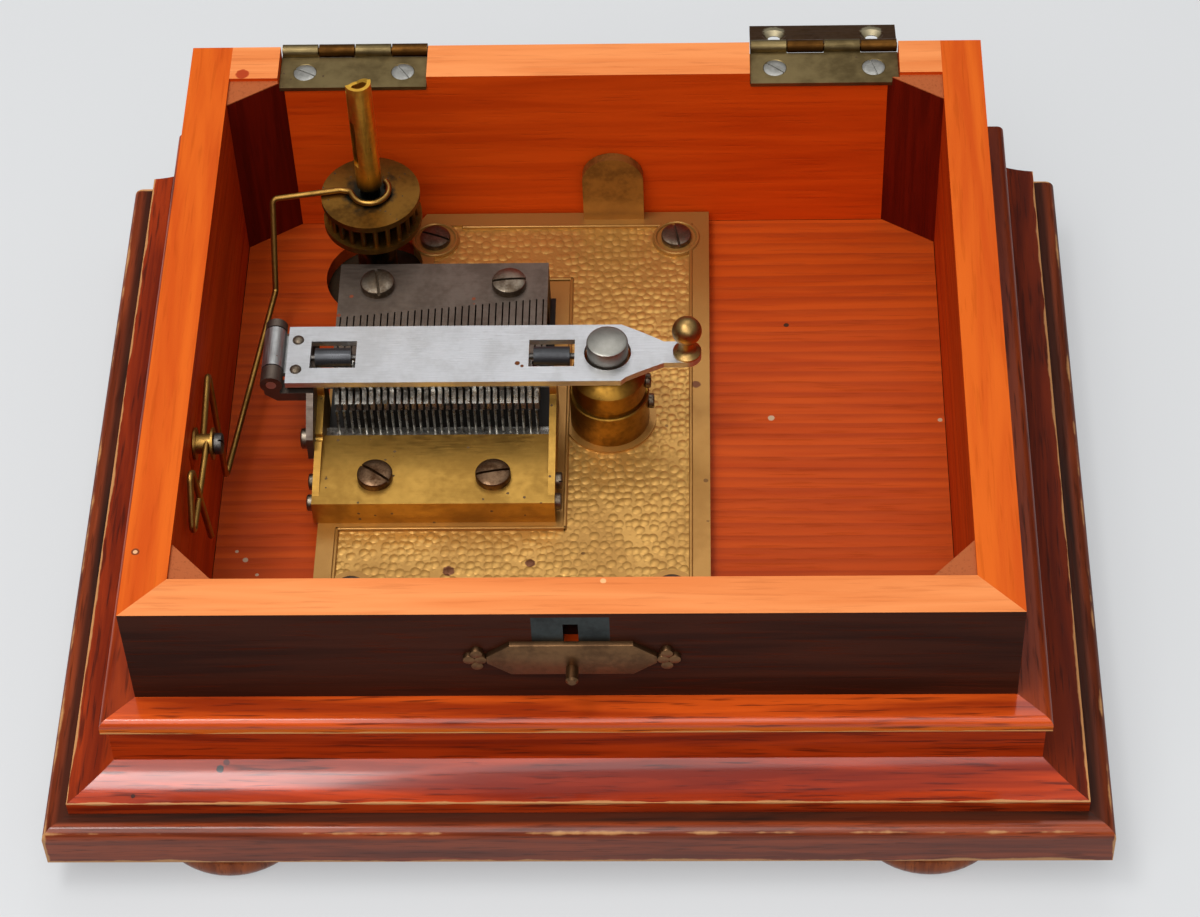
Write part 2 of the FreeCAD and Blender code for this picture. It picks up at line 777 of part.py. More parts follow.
def plate_screw_spots():
    left, right = post_x - S.plate_left, post_x + S.plate_right
    front, back = post_y - S.plate_front, back_inner - S.plate_back_gap
    inset, near = S.plate_screw_inset, front + S.plate_screw_front_inset
    return [(post_x - S.plate_ear, back - inset), (right - inset + 1, back - inset),
            (right - inset, near), (left + inset, near)]


def plate_plan():
    """Outline with the rounded screw ear and the hollow that passes the sprocket's sleeve."""
    left, right = post_x - S.plate_left, post_x + S.plate_right
    front, back = post_y - S.plate_front, back_inner - S.plate_back_gap
    ear_x, ear_y = plate_screw_spots()[0]
    ear = S.plate_ear_radius
    start = Vector(ear_x - ear, ear_y - 2, 0)
    hollow = math.hypot(start.x - drive_x, start.y - drive_y)
    sweep = [math.radians(angle) for angle in (-20, -75)]
    middle, end = [(drive_x + hollow * math.cos(angle), drive_y + hollow * math.sin(angle))
                   for angle in sweep]
    return outline((left, front), (right, front), (right, back), (ear_x - 0.45 * ear, back),
                   ((ear_x - 0.86 * ear, ear_y + 0.82 * ear), (ear_x - ear, ear_y)), (start.x, start.y),
                   (middle, end), (left, post_y + S.plate_notch_front))


def build_bedplate():
    right = post_x + S.plate_right
    front, back = post_y - S.plate_front, back_inner - S.plate_back_gap
    spots, border = plate_screw_spots(), S.plate_border
    slab = padded("plate_slab", plate_plan(), "dims.plate_thick", (0, 0, floor_z))
    left = post_x - S.plate_left
    frame_right = comb_x + S.note_pitch * notes / 2 + S.plate_frame
    frame_back = comb_edges()[3] + S.plate_frame
    frame_front = post_y - S.gantry_setback - S.gantry_depth - S.plate_frame_front
    field = padded("plate_field", outline(
        (left + border, front + border), (right - border, front + border), (right - border, back - border),
        (spots[0][0], back - border), (spots[0][0], frame_back), (frame_right, frame_back),
        (frame_right, frame_front), (left + border, frame_front)),
        "dims.plate_field_depth", (0, 0, plate_z - S.plate_field_depth))
    bosses = [rod(f"plate_boss_{index}", "dims.plate_boss_radius", "dims.plate_thick", (x, y, floor_z))
              for index, (x, y) in enumerate(spots)]
    seat = rod("post_seat", "dims.post_radius + 2", "dims.plate_thick", (post_x, post_y, floor_z))
    half = S.lug_width / 2
    straight = S.lug_height - half
    lug = padded("plate_lug", outline((-half, -S.plate_field_depth), (half, -S.plate_field_depth),
                                      (half, straight), ((0, S.lug_height), (-half, straight))),
                 "dims.lug_thick", (post_x, back, plate_z), FRONT)
    cast = fused("plate_cast", cut("plate_sunk", slab, field), seat, lug, *bosses)
    whole = doc.addObject("Part::Common", "plate_trimmed")
    whole.Base = cast
    whole.Tool = padded("plate_limit", plate_plan(), "dims.plate_thick + dims.lug_height + 1",
                        (0, 0, floor_z))
    drill = [rod(f"plate_drill_{index}", "dims.plate_screw_shank + dims.running_clear",
                 "dims.plate_thick + dims.floor_thick", (x, y, floor_z - S.floor_thick))
             for index, (x, y) in enumerate(spots)]
    node("bedplate", cut("plate_cut", whole, *drill, *drillings("plate_gantry", gantry_screw_spots()),
                         *drillings("plate_comb", comb_screw_spots())))
    form = screw("plate_screw_form", S.plate_screw_radius, S.plate_screw_height, S.plate_screw_shank,
                 S.plate_screw_length)
    grouped("bedplate_screws", form, [at(x, y, plate_z) for x, y in spots])
    return drill


def drillings(label, spots):
    """Holes down the movement's upright screws, from above everything to half way into the bedplate."""
    return [rod(f"{label}_drill_{index}", "dims.gantry_screw_shank + dims.running_clear",
                "dims.axle_height + dims.plate_thick", (x, y, plate_z - S.plate_thick / 2))
            for index, (x, y) in enumerate(spots)]


# Comb on its block

def comb_edges():
    tip_y = post_y + S.star_radius + S.comb_tip_gap
    half = S.note_pitch * notes / 2 + S.comb_margin
    return comb_x - half, comb_x + half, tip_y, tip_y + S.comb_length


def comb_screw_spots():
    left, right, _, back = comb_edges()
    spread = (right - left) * 0.315
    return [(comb_x + side * spread, back - S.comb_screw_back) for side in (-1, 1)]


def build_comb():
    left, right, tip, back = comb_edges()
    top = axle_z + S.comb_tooth_thick / 2
    under = top - S.comb_thick
    slit = S.comb_slit / 2
    points = [(left, back), (left, tip + 2)]
    for index in range(notes):
        share = index / (notes - 1)
        root = tip + S.comb_slit_treble + (S.comb_slit_bass - S.comb_slit_treble) * share
        x = note_x(index) - S.note_pitch / 2
        start = max(left, x - slit) if index else x - slit
        points += [(start, tip + (0 if index else 2)), (start, root), (x + slit, root), (x + slit, tip)]
    last = note_x(notes - 1) + S.note_pitch / 2
    points += [(last - slit, tip), (last - slit, root), (last + slit, root), (last + slit, tip + 2),
               (right, tip + 2), (right, back)]
    plate = padded("comb_plate", outline(points[0], *points[1:]), "dims.comb_thick", (0, 0, under))
    thin_back = tip + S.comb_slit_treble - 3
    relief = padded("comb_relief", rectangle(left - 1, tip - 1, right + 1, thin_back),
                    "dims.comb_thick - dims.comb_tooth_thick", (0, 0, under))
    node("comb", cut("comb_cut", plate, relief, *drillings("comb", comb_screw_spots())))
    block_front = tip + S.comb_slit_bass + 1.5
    body = padded("comb_block_blank", rectangle(left, block_front, right, back),
                  "dims.axle_height + dims.comb_tooth_thick / 2 - dims.comb_thick", (0, 0, plate_z))
    node("comb_block", cut("comb_block_cut", body, *drillings("comb_block", comb_screw_spots())))
    form = screw("comb_screw_form", S.gantry_screw_radius, S.gantry_screw_height, S.gantry_screw_shank,
                 S.axle_height)
    grouped("comb_screws", form, [at(x, y, top) for x, y in comb_screw_spots()])


# Gantry with star wheels and dampers

def gantry_edges():
    half = S.note_pitch * notes / 2 + S.gantry_margin
    back = post_y - S.gantry_setback
    return comb_x - half, comb_x + half, back - S.gantry_depth, back


def gantry_screw_spots():
    _, _, front, back = gantry_edges()
    return [(comb_x + side * S.gantry_screw_spacing / 2, front + 0.38 * (back - front)) for side in (-1, 1)]


def cheek_screw_spots():
    _, _, front, back = gantry_edges()
    return [(front + share * (back - front), plate_z + S.gantry_height / 2) for share in (0.16, 0.46)]


def build_gantry(bracket_hole):
    left, right, front, back = gantry_edges()
    body = padded("gantry_blank", rectangle(left, front, right, back), "dims.gantry_height",
                  (0, 0, plate_z))
    side_holes = []
    for index, (y, z) in enumerate(cheek_screw_spots()):
        for side, x in (("left", left), ("right", right - S.cheek_screw_bite - 1)):
            side_holes.append(rod(f"cheek_pilot_{side}_{index}",
                                  "dims.cheek_screw_shank + dims.running_clear",
                                  "dims.cheek_screw_bite + 1", (x, y, z), SIDE))
    node("gantry_block", cut("gantry_cut", body, *drillings("gantry", gantry_screw_spots()), *side_holes))
    form = screw("gantry_screw_form", S.gantry_screw_radius, S.gantry_screw_height, S.gantry_screw_shank,
                 S.gantry_height + S.plate_thick / 2 - 0.2)
    grouped("gantry_screws", form, [at(x, y, plate_z + S.gantry_height) for x, y in gantry_screw_spots()])

    head = S.cheek_head_radius
    crest = axle_z + head
    shape = outline((front, plate_z), (post_y + head, plate_z), (post_y + head, axle_z),
                    ((post_y, crest), (post_y - head, axle_z)), (front + 3, plate_z + S.gantry_height),
                    (front, plate_z + S.gantry_height))
    for side, x, name in ((-1, left - S.cheek_thick, "left"), (1, right, "right")):
        plate = padded(f"cheek_{name}_plate", shape, "dims.cheek_thick", (x, 0, 0), SIDE)
        holes = [rod(f"cheek_{name}_axle_hole", "dims.axle_radius", "dims.cheek_thick",
                     (x, post_y, axle_z), SIDE)]
        for index, (y, z) in enumerate(cheek_screw_spots()):
            holes.append(rod(f"cheek_{name}_hole_{index}", "dims.cheek_screw_shank + dims.running_clear",
                             "dims.cheek_thick", (x, y, z), SIDE))
        if side < 0:
            holes.append(bracket_hole)
        node(f"gantry_cheek_{name}", cut(f"cheek_{name}_cut", plate, *holes))
    form = screw("cheek_screw_form", S.cheek_screw_radius, S.cheek_screw_height, S.cheek_screw_shank,
                 S.cheek_thick + S.cheek_screw_bite)
    left_turn, right_turn = Rotation(Vector(0, 1, 0), -90), Rotation(Vector(0, 1, 0), 90)
    grouped("cheek_screws", form,
            [at(left - S.cheek_thick, y, z, left_turn) for y, z in cheek_screw_spots()]
            + [at(right + S.cheek_thick, y, z, right_turn) for y, z in cheek_screw_spots()])

    axle = rod("star_axle_form", "dims.axle_radius",
               "dims.note_pitch * dims.note_count + 2 * (dims.gantry_margin + dims.cheek_thick)",
               (left - S.cheek_thick, post_y, axle_z), SIDE)
    node("star_axle", axle)
    points = []
    count = int(S.star_points)
    for index in range(2 * count):
        radius = S.star_root_radius if index % 2 else S.star_radius
        angle = math.pi * index / count
        points.append((radius * math.cos(angle), radius * math.sin(angle)))
    star = padded("star_form", outline(points[0], *points[1:])
                  + circle(0, 0, S.axle_radius + S.running_clear), "dims.star_thick", (0, 0, 0))
    grouped("star_wheels", star, [at(note_x(index) - S.star_thick / 2, post_y, axle_z, SIDE)
                                  for index in range(notes)])
    build_dampers(left, right, back)


def build_dampers(left, right, back):
    wire_y = post_y - S.star_radius - S.damper_gap - S.damper_radius
    rail_back = wire_y + 1.5
    rail = Part.makeBox(right - left, rail_back - back, S.damper_height * 0.3, Vector(left, back, plate_z))
    wires = [Part.makeCylinder(S.damper_radius, S.damper_height * 0.7,
                               Vector(note_x(index), wire_y, plate_z + S.damper_height * 0.3))
             for index in range(notes)]
    dampers = doc.addObject("Part::Feature", "dampers_form")
    dampers.Shape = Part.makeCompound([rail] + wires)
    node("dampers", dampers)


# Centre post

def build_post():
    low, groove, top = S.post_lower_height, S.post_groove_height, S.post_height
    upper = S.post_upper_radius
    post = turned("post_form", outline(
        (0, 0), (S.post_radius, 0), (S.post_radius, low), (S.post_groove_radius, low),
        (S.post_groove_radius, low + groove), (upper, low + groove), (upper, top - S.post_chamfer),
        (S.spindle_radius + 1.5, top), (0, top)), (post_x, post_y, plate_z))
    screw_heights = (0.6 * low, low + groove + 3.2)
    radii = (S.post_radius, upper)
    holes = [rod(f"post_screw_hole_{index}", "dims.cheek_screw_shank + dims.running_clear",
                 "dims.post_screw_bite",
                 (post_x + radius - S.post_screw_bite, post_y, plate_z + z), SIDE)
             for index, (z, radius) in enumerate(zip(screw_heights, radii))]
    node("centre_post", cut("post_cut", post, *holes))
    tip, bevel = S.bar_height - S.post_height + S.spindle_reach, 0.5
    spindle = turned("spindle_form", outline(
        (0, 0), (S.spindle_radius, 0), (S.spindle_radius, tip - bevel), (S.spindle_radius - bevel, tip),
        (0, tip)), (post_x, post_y, plate_z + S.post_height))
    node("post_spindle", spindle)
    form = screw("post_screw_form", S.post_screw_radius, S.post_screw_height, S.cheek_screw_shank,
                 S.post_screw_bite)
    turn = Rotation(Vector(0, 1, 0), 90)
    grouped("post_screws", form, [at(post_x + radius, post_y, plate_z + z, turn)
                                  for z, radius in zip(screw_heights, radii)])


# Pressure bar, its hinge and its rollers

def bar_axis():
    return post_x - S.bar_axis_left, plate_z + S.bar_height - S.bar_thick / 2


def windows():
    return [post_x - S.window_outer_left, post_x - S.window_inner_left]


def build_bar():
    top = plate_z + S.bar_height
    under = top - S.bar_thick
    half, tail = S.bar_width / 2, S.bar_tail_width / 2
    left, shoulder, knob_x = post_x - S.bar_left, post_x + S.bar_shoulder, post_x + S.bar_tail
    waist = shoulder + 0.62 * (knob_x - shoulder)
    bend = shoulder + 0.3 * (knob_x - shoulder)
    edges = outline(
        (left, post_y - half), (shoulder - 1.4, post_y - half), (shoulder, post_y - half + 1.4),
        ((bend, post_y - 0.62 * half), (waist, post_y - tail)), (knob_x, post_y - tail),
        ((knob_x + tail, post_y), (knob_x, post_y + tail)), (waist, post_y + tail),
        ((bend, post_y + 0.68 * half), (shoulder - 1.4, post_y + half)), (left, post_y + half))
    edges += circle(post_x, post_y, S.spindle_radius + S.bar_hole_clear)
    reach = S.window_width / 2
    rivets = [(left + S.bar_leaf_length - 2.4, post_y + side * half * 0.52) for side in (-1, 1)]
    for window in windows():
        edges += rectangle(window - S.window_length / 2, post_y - reach,
                           window + S.window_length / 2, post_y + reach)
    for x, y in rivets:
        edges += circle(x, y, S.rivet_radius * 0.6)
    edges += circle(knob_x, post_y, S.knob_neck_radius * 0.6)
    plate = padded("bar_plate", edges, "dims.bar_thick", (0, 0, under))
    ears = []
    axle_z_bar = top - S.roller_drop - S.bar_thick / 2
    for index, window in enumerate(windows()):
        for side in (-1, 1):
            face = window + side * (S.window_length / 2 - S.ear_thick / 2) - S.ear_thick / 2
            ear = padded(f"bar_ear_{index}_{side + 1}", outline(
                (-reach, top - under), (-reach, 0.2), (-2.4, -1.9), (2.4, -1.9), (reach, 0.2),
                (reach, top - under)),
                "dims.ear_thick", (face, post_y, under), SIDE)
            hole = rod(f"bar_ear_hole_{index}_{side + 1}", "dims.roller_pin_radius", "dims.ear_thick",
                       (face, post_y, axle_z_bar), SIDE)
            ears.append(cut(f"bar_ear_cut_{index}_{side + 1}", ear, hole))
    node("pressure_bar", fused("bar_form", plate, *ears))

    roller = padded("roller_form", circle(0, 0, S.roller_radius)
                    + circle(0, 0, S.roller_pin_radius + S.running_clear), "dims.roller_length", (0, 0, 0))
    pin = rod("roller_pin_form", "dims.roller_pin_radius", "dims.window_length", (0, 0, 0))
    for window, name in zip(windows(), ("outer", "inner")):
        grouped(f"roller_{name}", roller, [at(window - S.roller_length / 2, post_y, axle_z_bar, SIDE)])
    grouped("roller_pins", pin, [at(window - S.window_length / 2, post_y, axle_z_bar, SIDE)
                                 for window in windows()])
    ball, flange, tall = S.knob_ball_radius, S.knob_flange_radius, S.knob_height
    centre = tall - ball
    join = math.sqrt(ball ** 2 - S.knob_neck_radius ** 2)
    tang, below = S.knob_neck_radius * 0.6, S.bar_thick + 0.6
    knob = turned("knob_form", outline(
        (0, -below), (tang, -below), (tang, 0),
        (flange, 0), (flange, 0.8), (S.knob_neck_radius, 2.6), (S.knob_neck_radius, centre - join),
        ((ball, centre), (0, tall))), (knob_x, post_y, top))
    node("bar_knob", knob)

    axis_x, axis_z = bar_axis()
    radius, gap = S.bar_knuckle_radius, S.layer_clear
    low, high = post_y - half * 0.52, post_y + half * 0.88
    strap = padded("leaf_strap", rectangle(axis_x, low + gap, left + S.bar_leaf_length, high - gap),
                   "dims.bar_leaf_thick", (0, 0, under - S.bar_leaf_thick))
    flank = half - 1.5
    wide = padded("leaf_wide", rectangle(left, post_y - flank, left + S.bar_leaf_length, post_y + flank),
                  "dims.bar_leaf_thick", (0, 0, under - S.bar_leaf_thick))
    barrel = rod("leaf_barrel", "dims.bar_knuckle_radius", f"{high - low - 2 * gap}",
                 (axis_x, high - gap, axis_z), FRONT)
    bore = rod("leaf_bore", "dims.bar_pin_radius + dims.running_clear", f"{high - low}",
               (axis_x, high, axis_z), FRONT)
    holes = [rod(f"leaf_rivet_hole_{index}", "dims.rivet_radius * 0.6", "dims.bar_leaf_thick",
                 (x, y, under - S.bar_leaf_thick)) for index, (x, y) in enumerate(rivets)]
    node("bar_hinge_leaf", cut("leaf_cut", fused("leaf_form", strap, wide, barrel), bore, *holes))
    rivet = turned("rivet_form", outline(
        (0, -S.bar_thick - S.bar_leaf_thick), (S.rivet_radius * 0.6, -S.bar_thick - S.bar_leaf_thick),
        (S.rivet_radius * 0.6, 0), (S.rivet_radius, 0), (S.rivet_radius, 0.3), (S.rivet_radius * 0.6, 0.9),
        (0, 0.9)), (0, 0, 0))
    grouped("bar_rivets", rivet, [at(x, y, top) for x, y in rivets])
    build_bracket(low, high, axis_x, axis_z, radius, half, under)


def bracket_screw_spot():
    _, _, front, back = gantry_edges()
    return back - 4.0, plate_z + 0.8 * S.axle_height


def bracket_hole(label):
    left = gantry_edges()[0] - S.cheek_thick - S.bracket_thick
    y, z = bracket_screw_spot()
    return rod(label, "dims.cheek_screw_shank + dims.running_clear",
               "dims.cheek_thick + dims.bracket_thick", (left, y, z), SIDE)


def build_bracket(low, high, axis_x, axis_z, radius, half, under):
    inner = gantry_edges()[0] - S.cheek_thick
    outer = inner - S.bracket_thick
    y, z = bracket_screw_spot()
    front, back = post_y - half, post_y + half + 1.4
    head = S.bracket_screw_radius + 1.2
    top = under - S.bar_leaf_thick - S.layer_clear - 0.6
    side = padded("bracket_side", outline((y - head, z - head), (post_y + S.bracket_foot_back, z - head), (back, top),
                                          (front, top), (y - head, z + head)),
                  "dims.bracket_thick", (outer, 0, 0), SIDE)
    wide, crest = radius * 0.7, axis_z - radius * 0.45
    arm = outline((inner, top - 3.2), (inner, top), (axis_x + wide, top), (axis_x + wide, crest),
                  (axis_x - wide, crest), (axis_x - wide, top - 0.4), (axis_x + 1.2, top - 3.2))
    pieces, bores = [side], []
    for index, (start, end) in enumerate(((front, low), (high, back))):
        length, place = f"{end - start}", (axis_x, end, axis_z)
        pieces.append(padded(f"bracket_arm_{index}", arm, length, (0, end, 0), FRONT))
        pieces.append(rod(f"bracket_knuckle_{index}", "dims.bar_knuckle_radius", length, place, FRONT))
        bores.append(rod(f"bracket_bore_{index}", "dims.bar_pin_radius", length, place, FRONT))
    solid = fused("bracket_form", *pieces)
    node("bar_bracket", cut("bracket_cut", solid, *bores, bracket_hole("bracket_drill")))
    node("bar_hinge_pin", rod("bar_hinge_pin_form", "dims.bar_pin_radius", f"{back - front}",
                              (axis_x, back, axis_z), FRONT))
    form = screw("bracket_screw_form", S.bracket_screw_radius, S.bracket_screw_height, S.cheek_screw_shank,
                 S.cheek_thick + S.bracket_thick)
    grouped("bracket_screw", form, [at(outer, y, z, Rotation(Vector(0, 1, 0), -90))])


# Sprocket, winding tube and brake wire

def drive_levels():
    top = plate_z - S.plate_thick + S.sprocket_raise + S.sprocket_height
    motor_top = floor_z - S.floor_thick
    return {"plate_top": top, "flange": top - S.sprocket_height, "motor_top": motor_top,
            "barrel_top": motor_top - S.motor_plate_thick - S.layer_clear,
            "barrel_floor": motor_top - S.motor_plate_thick - S.layer_clear - S.barrel_height,
            "motor_floor": motor_top - S.motor_plate_thick - S.motor_gap}


def build_sprocket():
    z = drive_levels()
    thick, wide, sleeve = S.sprocket_plate_thick, S.sprocket_radius, S.sleeve_radius
    bore = S.arbor_radius + S.running_clear
    inside = S.barrel_radius - S.barrel_wall - S.running_clear
    base = z["barrel_top"]
    up, flange = z["plate_top"] - base, z["flange"] - base
    form = turned("sprocket_form", outline(
        (bore, -1.2), (inside, -1.2), (inside, 0), (sleeve, 0), (sleeve, flange), (wide, flange),
        (wide, flange + thick), (sleeve, flange + thick), (sleeve, up - thick), (wide, up - thick),
        (wide, up), (bore, up)), (drive_x, drive_y, base))
    count, ring = int(S.sprocket_bar_count), S.sprocket_bar_circle
    angles = [2 * math.pi * index / count for index in range(count)]
    bar = rod("sprocket_bar_form", "dims.sprocket_bar_radius", "dims.sprocket_height", (0, 0, 0))
    places = [at(drive_x + ring * math.cos(angle), drive_y + ring * math.sin(angle), z["flange"])
              for angle in angles]
    bars = grouped("sprocket_bars", bar, places)
    node("lantern_sprocket", cut("sprocket_cut", form, bars))


def build_tube():
    z = drive_levels()
    base = z["motor_floor"] - S.motor_plate_thick
    collar = z["plate_top"] + S.tube_neck - base
    top = collar + S.tube_length
    arbor, wide, bore = S.arbor_radius, S.tube_radius, S.tube_bore_radius
    form = turned("tube_form", outline((0, 0), (arbor, 0), (arbor, collar), (wide, collar), (wide, top),
                                       (bore, top), (bore, collar + 2), (0, collar + 2)),
                  (drive_x, drive_y, base))
    half = S.tube_slot_width / 2
    slot = padded("tube_slot", rectangle(-half, -S.tube_slot_length, half, 0), "2 * dims.tube_radius",
                  (drive_x, drive_y, base + top - S.tube_slot_from_top),
                  Rotation(Vector(0, 0, 1), -50).multiply(FRONT))
    ramp = padded("tube_ramp_cut", outline((-wide - 1, S.tube_ramp), (wide + 1, S.tube_ramp), (wide + 1, 0),
                                           (-0.4, 0), (-wide - 1, S.tube_ramp * 0.86)),
                  "2 * dims.tube_radius",
                  (drive_x, drive_y, base + top - S.tube_ramp + 0.01),
                  Rotation(Vector(0, 0, 1), 200).multiply(FRONT))
    node("winding_tube", cut("tube_cut", form, slot, ramp))


def wire_pivot():
    return front_inner + S.wire_pivot_from_front, rim_z - S.wire_pivot_below_rim


def wire_points():
    """Route of the brake wire, from beside the winding tube to its free end on the left wall."""
    z = drive_levels()["plate_top"] + S.wire_radius + S.wire_clear
    wall = left_inner + S.wire_pivot_out
    arm = wall + 2 * S.wire_radius
    pivot_y, pivot_z = wire_pivot()
    run = [(drive_x - S.wire_arm_start, drive_y, z),
           (drive_x - S.wire_arm_reach, drive_y - S.wire_arm_slant, z),
           (drive_x - S.wire_drop_reach, drive_y - S.wire_drop_run, z - S.wire_drop),
           (wall + S.wire_vee_out, pivot_y + S.wire_vee_back, pivot_z - S.wire_vee_drop),
           (wall, pivot_y + S.wire_crest_back, pivot_z + S.wire_crest_rise),
           (wall, pivot_y, pivot_z - S.wire_seat)]
    tail = [(arm, pivot_y, pivot_z + S.wire_seat),
            (wall, pivot_y - S.wire_tail_front, pivot_z - S.wire_tail_drop),
            (wall, pivot_y - S.wire_loop_front, pivot_z + S.wire_loop_rise),
            (wall + S.wire_end_out, pivot_y - S.wire_end_front, pivot_z - S.wire_end_drop)]
    return run, tail


def build_wire():
    run, tail = wire_points()
    hook, z = S.tube_radius + S.wire_radius + S.hook_clear, run[0][2]
    centre = Vector(drive_x, drive_y, z)
    start, bottom = centre + Vector(hook * 0.78, hook * 0.62, 0), centre + Vector(0, -hook, 0)
    end = centre + Vector(-hook * 0.9, -hook * 0.44, 0)
    bow = Part.Arc(start, bottom, end).toShape()
    lead = end + bow.tangentAt(bow.LastParameter) * 2
    path = Part.Wire([bow] + bent_wire([tuple(end), tuple(lead)] + run, S.wire_bend).Edges)
    pivot_y, pivot_z = wire_pivot()
    flange, core, length, thin = S.spool_flange_radius, S.spool_radius, S.spool_length, S.spool_flange_thick
    spool = turned("spool_form", outline(
        (0, 0), (flange, 0), (flange, thin), (core, thin), (core, length - thin), (flange, length - thin),
        (flange, length), (0, length)), (0, 0, 0))
    spool.Placement = at(left_inner + S.wire_clear, pivot_y, pivot_z, Rotation(Vector(0, 0, 1), -90))
    doc.recompute()
    bent = doc.addObject("Part::Feature", "bent_run")
    bent.Shape = piped(path, S.wire_radius)
    bent_tail = doc.addObject("Part::Feature", "bent_tail")
    bent_tail.Shape = piped(bent_wire(tail, S.wire_bend), S.wire_radius)
    bore = rod("spool_bore", "dims.wire_screw_shank + dims.running_clear", "dims.spool_length + 2",
               (left_inner - 1, pivot_y, pivot_z), SIDE)
    node("brake_wire", cut("brake_wire_cut", fused("brake_wire_form", spool, bent, bent_tail), bore))
    reach, shank, head = S.spool_length + 2 * S.wire_clear, S.wire_screw_shank, S.wire_screw_radius
    form = screw("wire_screw_form", head, S.wire_screw_height, shank, reach + S.wire_screw_bite)
    turn = Rotation(Vector(0, 1, 0), 90)
    grouped("wire_pivot_screw", form, [at(left_inner + reach, pivot_y, pivot_z, turn)])
    pilot = rod("wire_screw_pilot", "dims.wire_screw_shank + dims.running_clear", "dims.wire_screw_bite",
                (left_inner - S.wire_screw_bite, pivot_y, pivot_z), SIDE)
    slot = block("wire_slot", "dims.wall_thick / 2", "dims.wire_slot_width", "dims.wire_slot_height",
                 (left_inner - S.wall_thick / 2, pivot_y - S.spool_radius - S.wire_slot_width - 1.4,
                  pivot_z - 0.7 * S.wire_slot_height))
    return [pilot, slot]


# Spring motor under the floor

def motor_places():
    great = S.great_teeth * S.great_module / 2
    pinion = S.train_pinion_teeth * S.great_module / 2
    wheel = S.train_teeth * S.train_module / 2
    fly_pinion = S.fly_pinion_teeth * S.train_module / 2
    train = (drive_x + great + pinion, drive_y)
    slant = (wheel + fly_pinion) / math.sqrt(2)
    return train, (train[0] + slant, train[1] - slant)


def motor_outline():
    side, reach = S.motor_side, S.motor_train_reach
    return rectangle(drive_x - side, drive_y - side, drive_x + reach, drive_y + side)


def pillar_spots():
    inset = S.motor_pillar_radius + 0.6
    side, reach = S.motor_side, S.motor_train_reach
    return [(x, y) for x in (drive_x - side + inset, drive_x + reach - inset)
            for y in (drive_y - side + inset, drive_y + side - inset)]


def build_motor():
    z = drive_levels()
    train, fly = motor_places()
    arbor_hole = S.motor_arbor_radius + S.running_clear
    pillar_holes = []
    for x, y in pillar_spots():
        pillar_holes += circle(x, y, S.motor_pillar_radius * 0.5)
    shafts = circle(*train, arbor_hole) + circle(*fly, arbor_hole)
    top = padded("motor_top_form", motor_outline() + pillar_holes + shafts
                 + circle(drive_x, drive_y, S.sleeve_radius + S.running_clear), "dims.motor_plate_thick",
                 (0, 0, z["motor_top"] - S.motor_plate_thick))
    node("motor_top_plate", top)
    low = padded("motor_low_form", motor_outline() + pillar_holes + shafts
                 + circle(drive_x, drive_y, S.arbor_radius + S.running_clear)
                 + circle(*click_pivot(), arbor_hole), "dims.motor_plate_thick",
                 (0, 0, z["motor_floor"] - S.motor_plate_thick))
    node("motor_bottom_plate", low)
    thin, wide, plate = S.motor_pillar_radius * 0.5, S.motor_pillar_radius, S.motor_plate_thick
    gap, tip = S.motor_gap, S.motor_gap + plate + S.pillar_bite
    pillar = turned("pillar_form", outline(
        (0, -plate - 1.2), (wide, -plate - 1.2), (wide, -plate), (thin, -plate), (thin, 0), (wide, 0),
        (wide, gap), (thin, gap), (thin, tip), (0, tip)), (0, 0, 0))
    grouped("motor_pillars", pillar, [at(x, y, z["motor_floor"]) for x, y in pillar_spots()])

    floor = z["barrel_floor"]
    hollow = S.barrel_radius - S.barrel_wall
    bore = S.arbor_radius + S.running_clear
    drum = turned("barrel_drum", outline(
        (bore, 0), (S.barrel_radius, 0), (S.barrel_radius, S.barrel_height), (hollow, S.barrel_height),
        (hollow, S.great_thick), (bore, S.great_thick)), (drive_x, drive_y, floor))
    wheel = padded("barrel_wheel", toothed(S.great_teeth, S.great_module, S.gear_backlash)
                   + circle(0, 0, S.barrel_radius - 0.5), "dims.great_thick", (drive_x, drive_y, floor))
    node("spring_barrel", fused("barrel_form", drum, wheel))
    build_mainspring(floor + S.great_thick, hollow)
    build_train(z, train, fly, floor)
    build_ratchet(z, floor)
    return [rod(f"pillar_pilot_{index}", "dims.motor_pillar_radius * 0.5", "dims.pillar_bite + 0.2",
                (x, y, z["motor_top"]))
            for index, (x, y) in enumerate(pillar_spots())]


def build_mainspring(base, hollow):
    half_turns = int(2 * S.spring_turns)
    first = S.arbor_radius + S.layer_clear + S.spring_strip
    last = hollow - S.layer_clear - S.spring_strip
    step = (last - first) / half_turns
    edges_out, edges_in = [], []
    half = S.spring_strip / 2
    for index in range(half_turns):
        radius = first + step * index
        sign = 1 if index % 2 == 0 else -1
        centre = Vector(step * (index % 2), 0, 0)
        for edges, reach in ((edges_out, radius + half), (edges_in, radius - half)):
            edges.append((centre + Vector(sign * reach, 0, 0), centre + Vector(0, sign * reach, 0),
                          centre + Vector(-sign * reach, 0, 0)))
    edges = [Part.Arc(*arc) for arc in edges_out + edges_in]
    edges.append(Part.LineSegment(edges_out[0][0], edges_in[0][0]))
    edges.append(Part.LineSegment(edges_out[-1][2], edges_in[-1][2]))
    tall = "dims.barrel_height - dims.great_thick - 1.2 - dims.layer_clear"
    strip = padded("mainspring_form", edges, tall, (drive_x, drive_y, base))
    node("mainspring", strip)


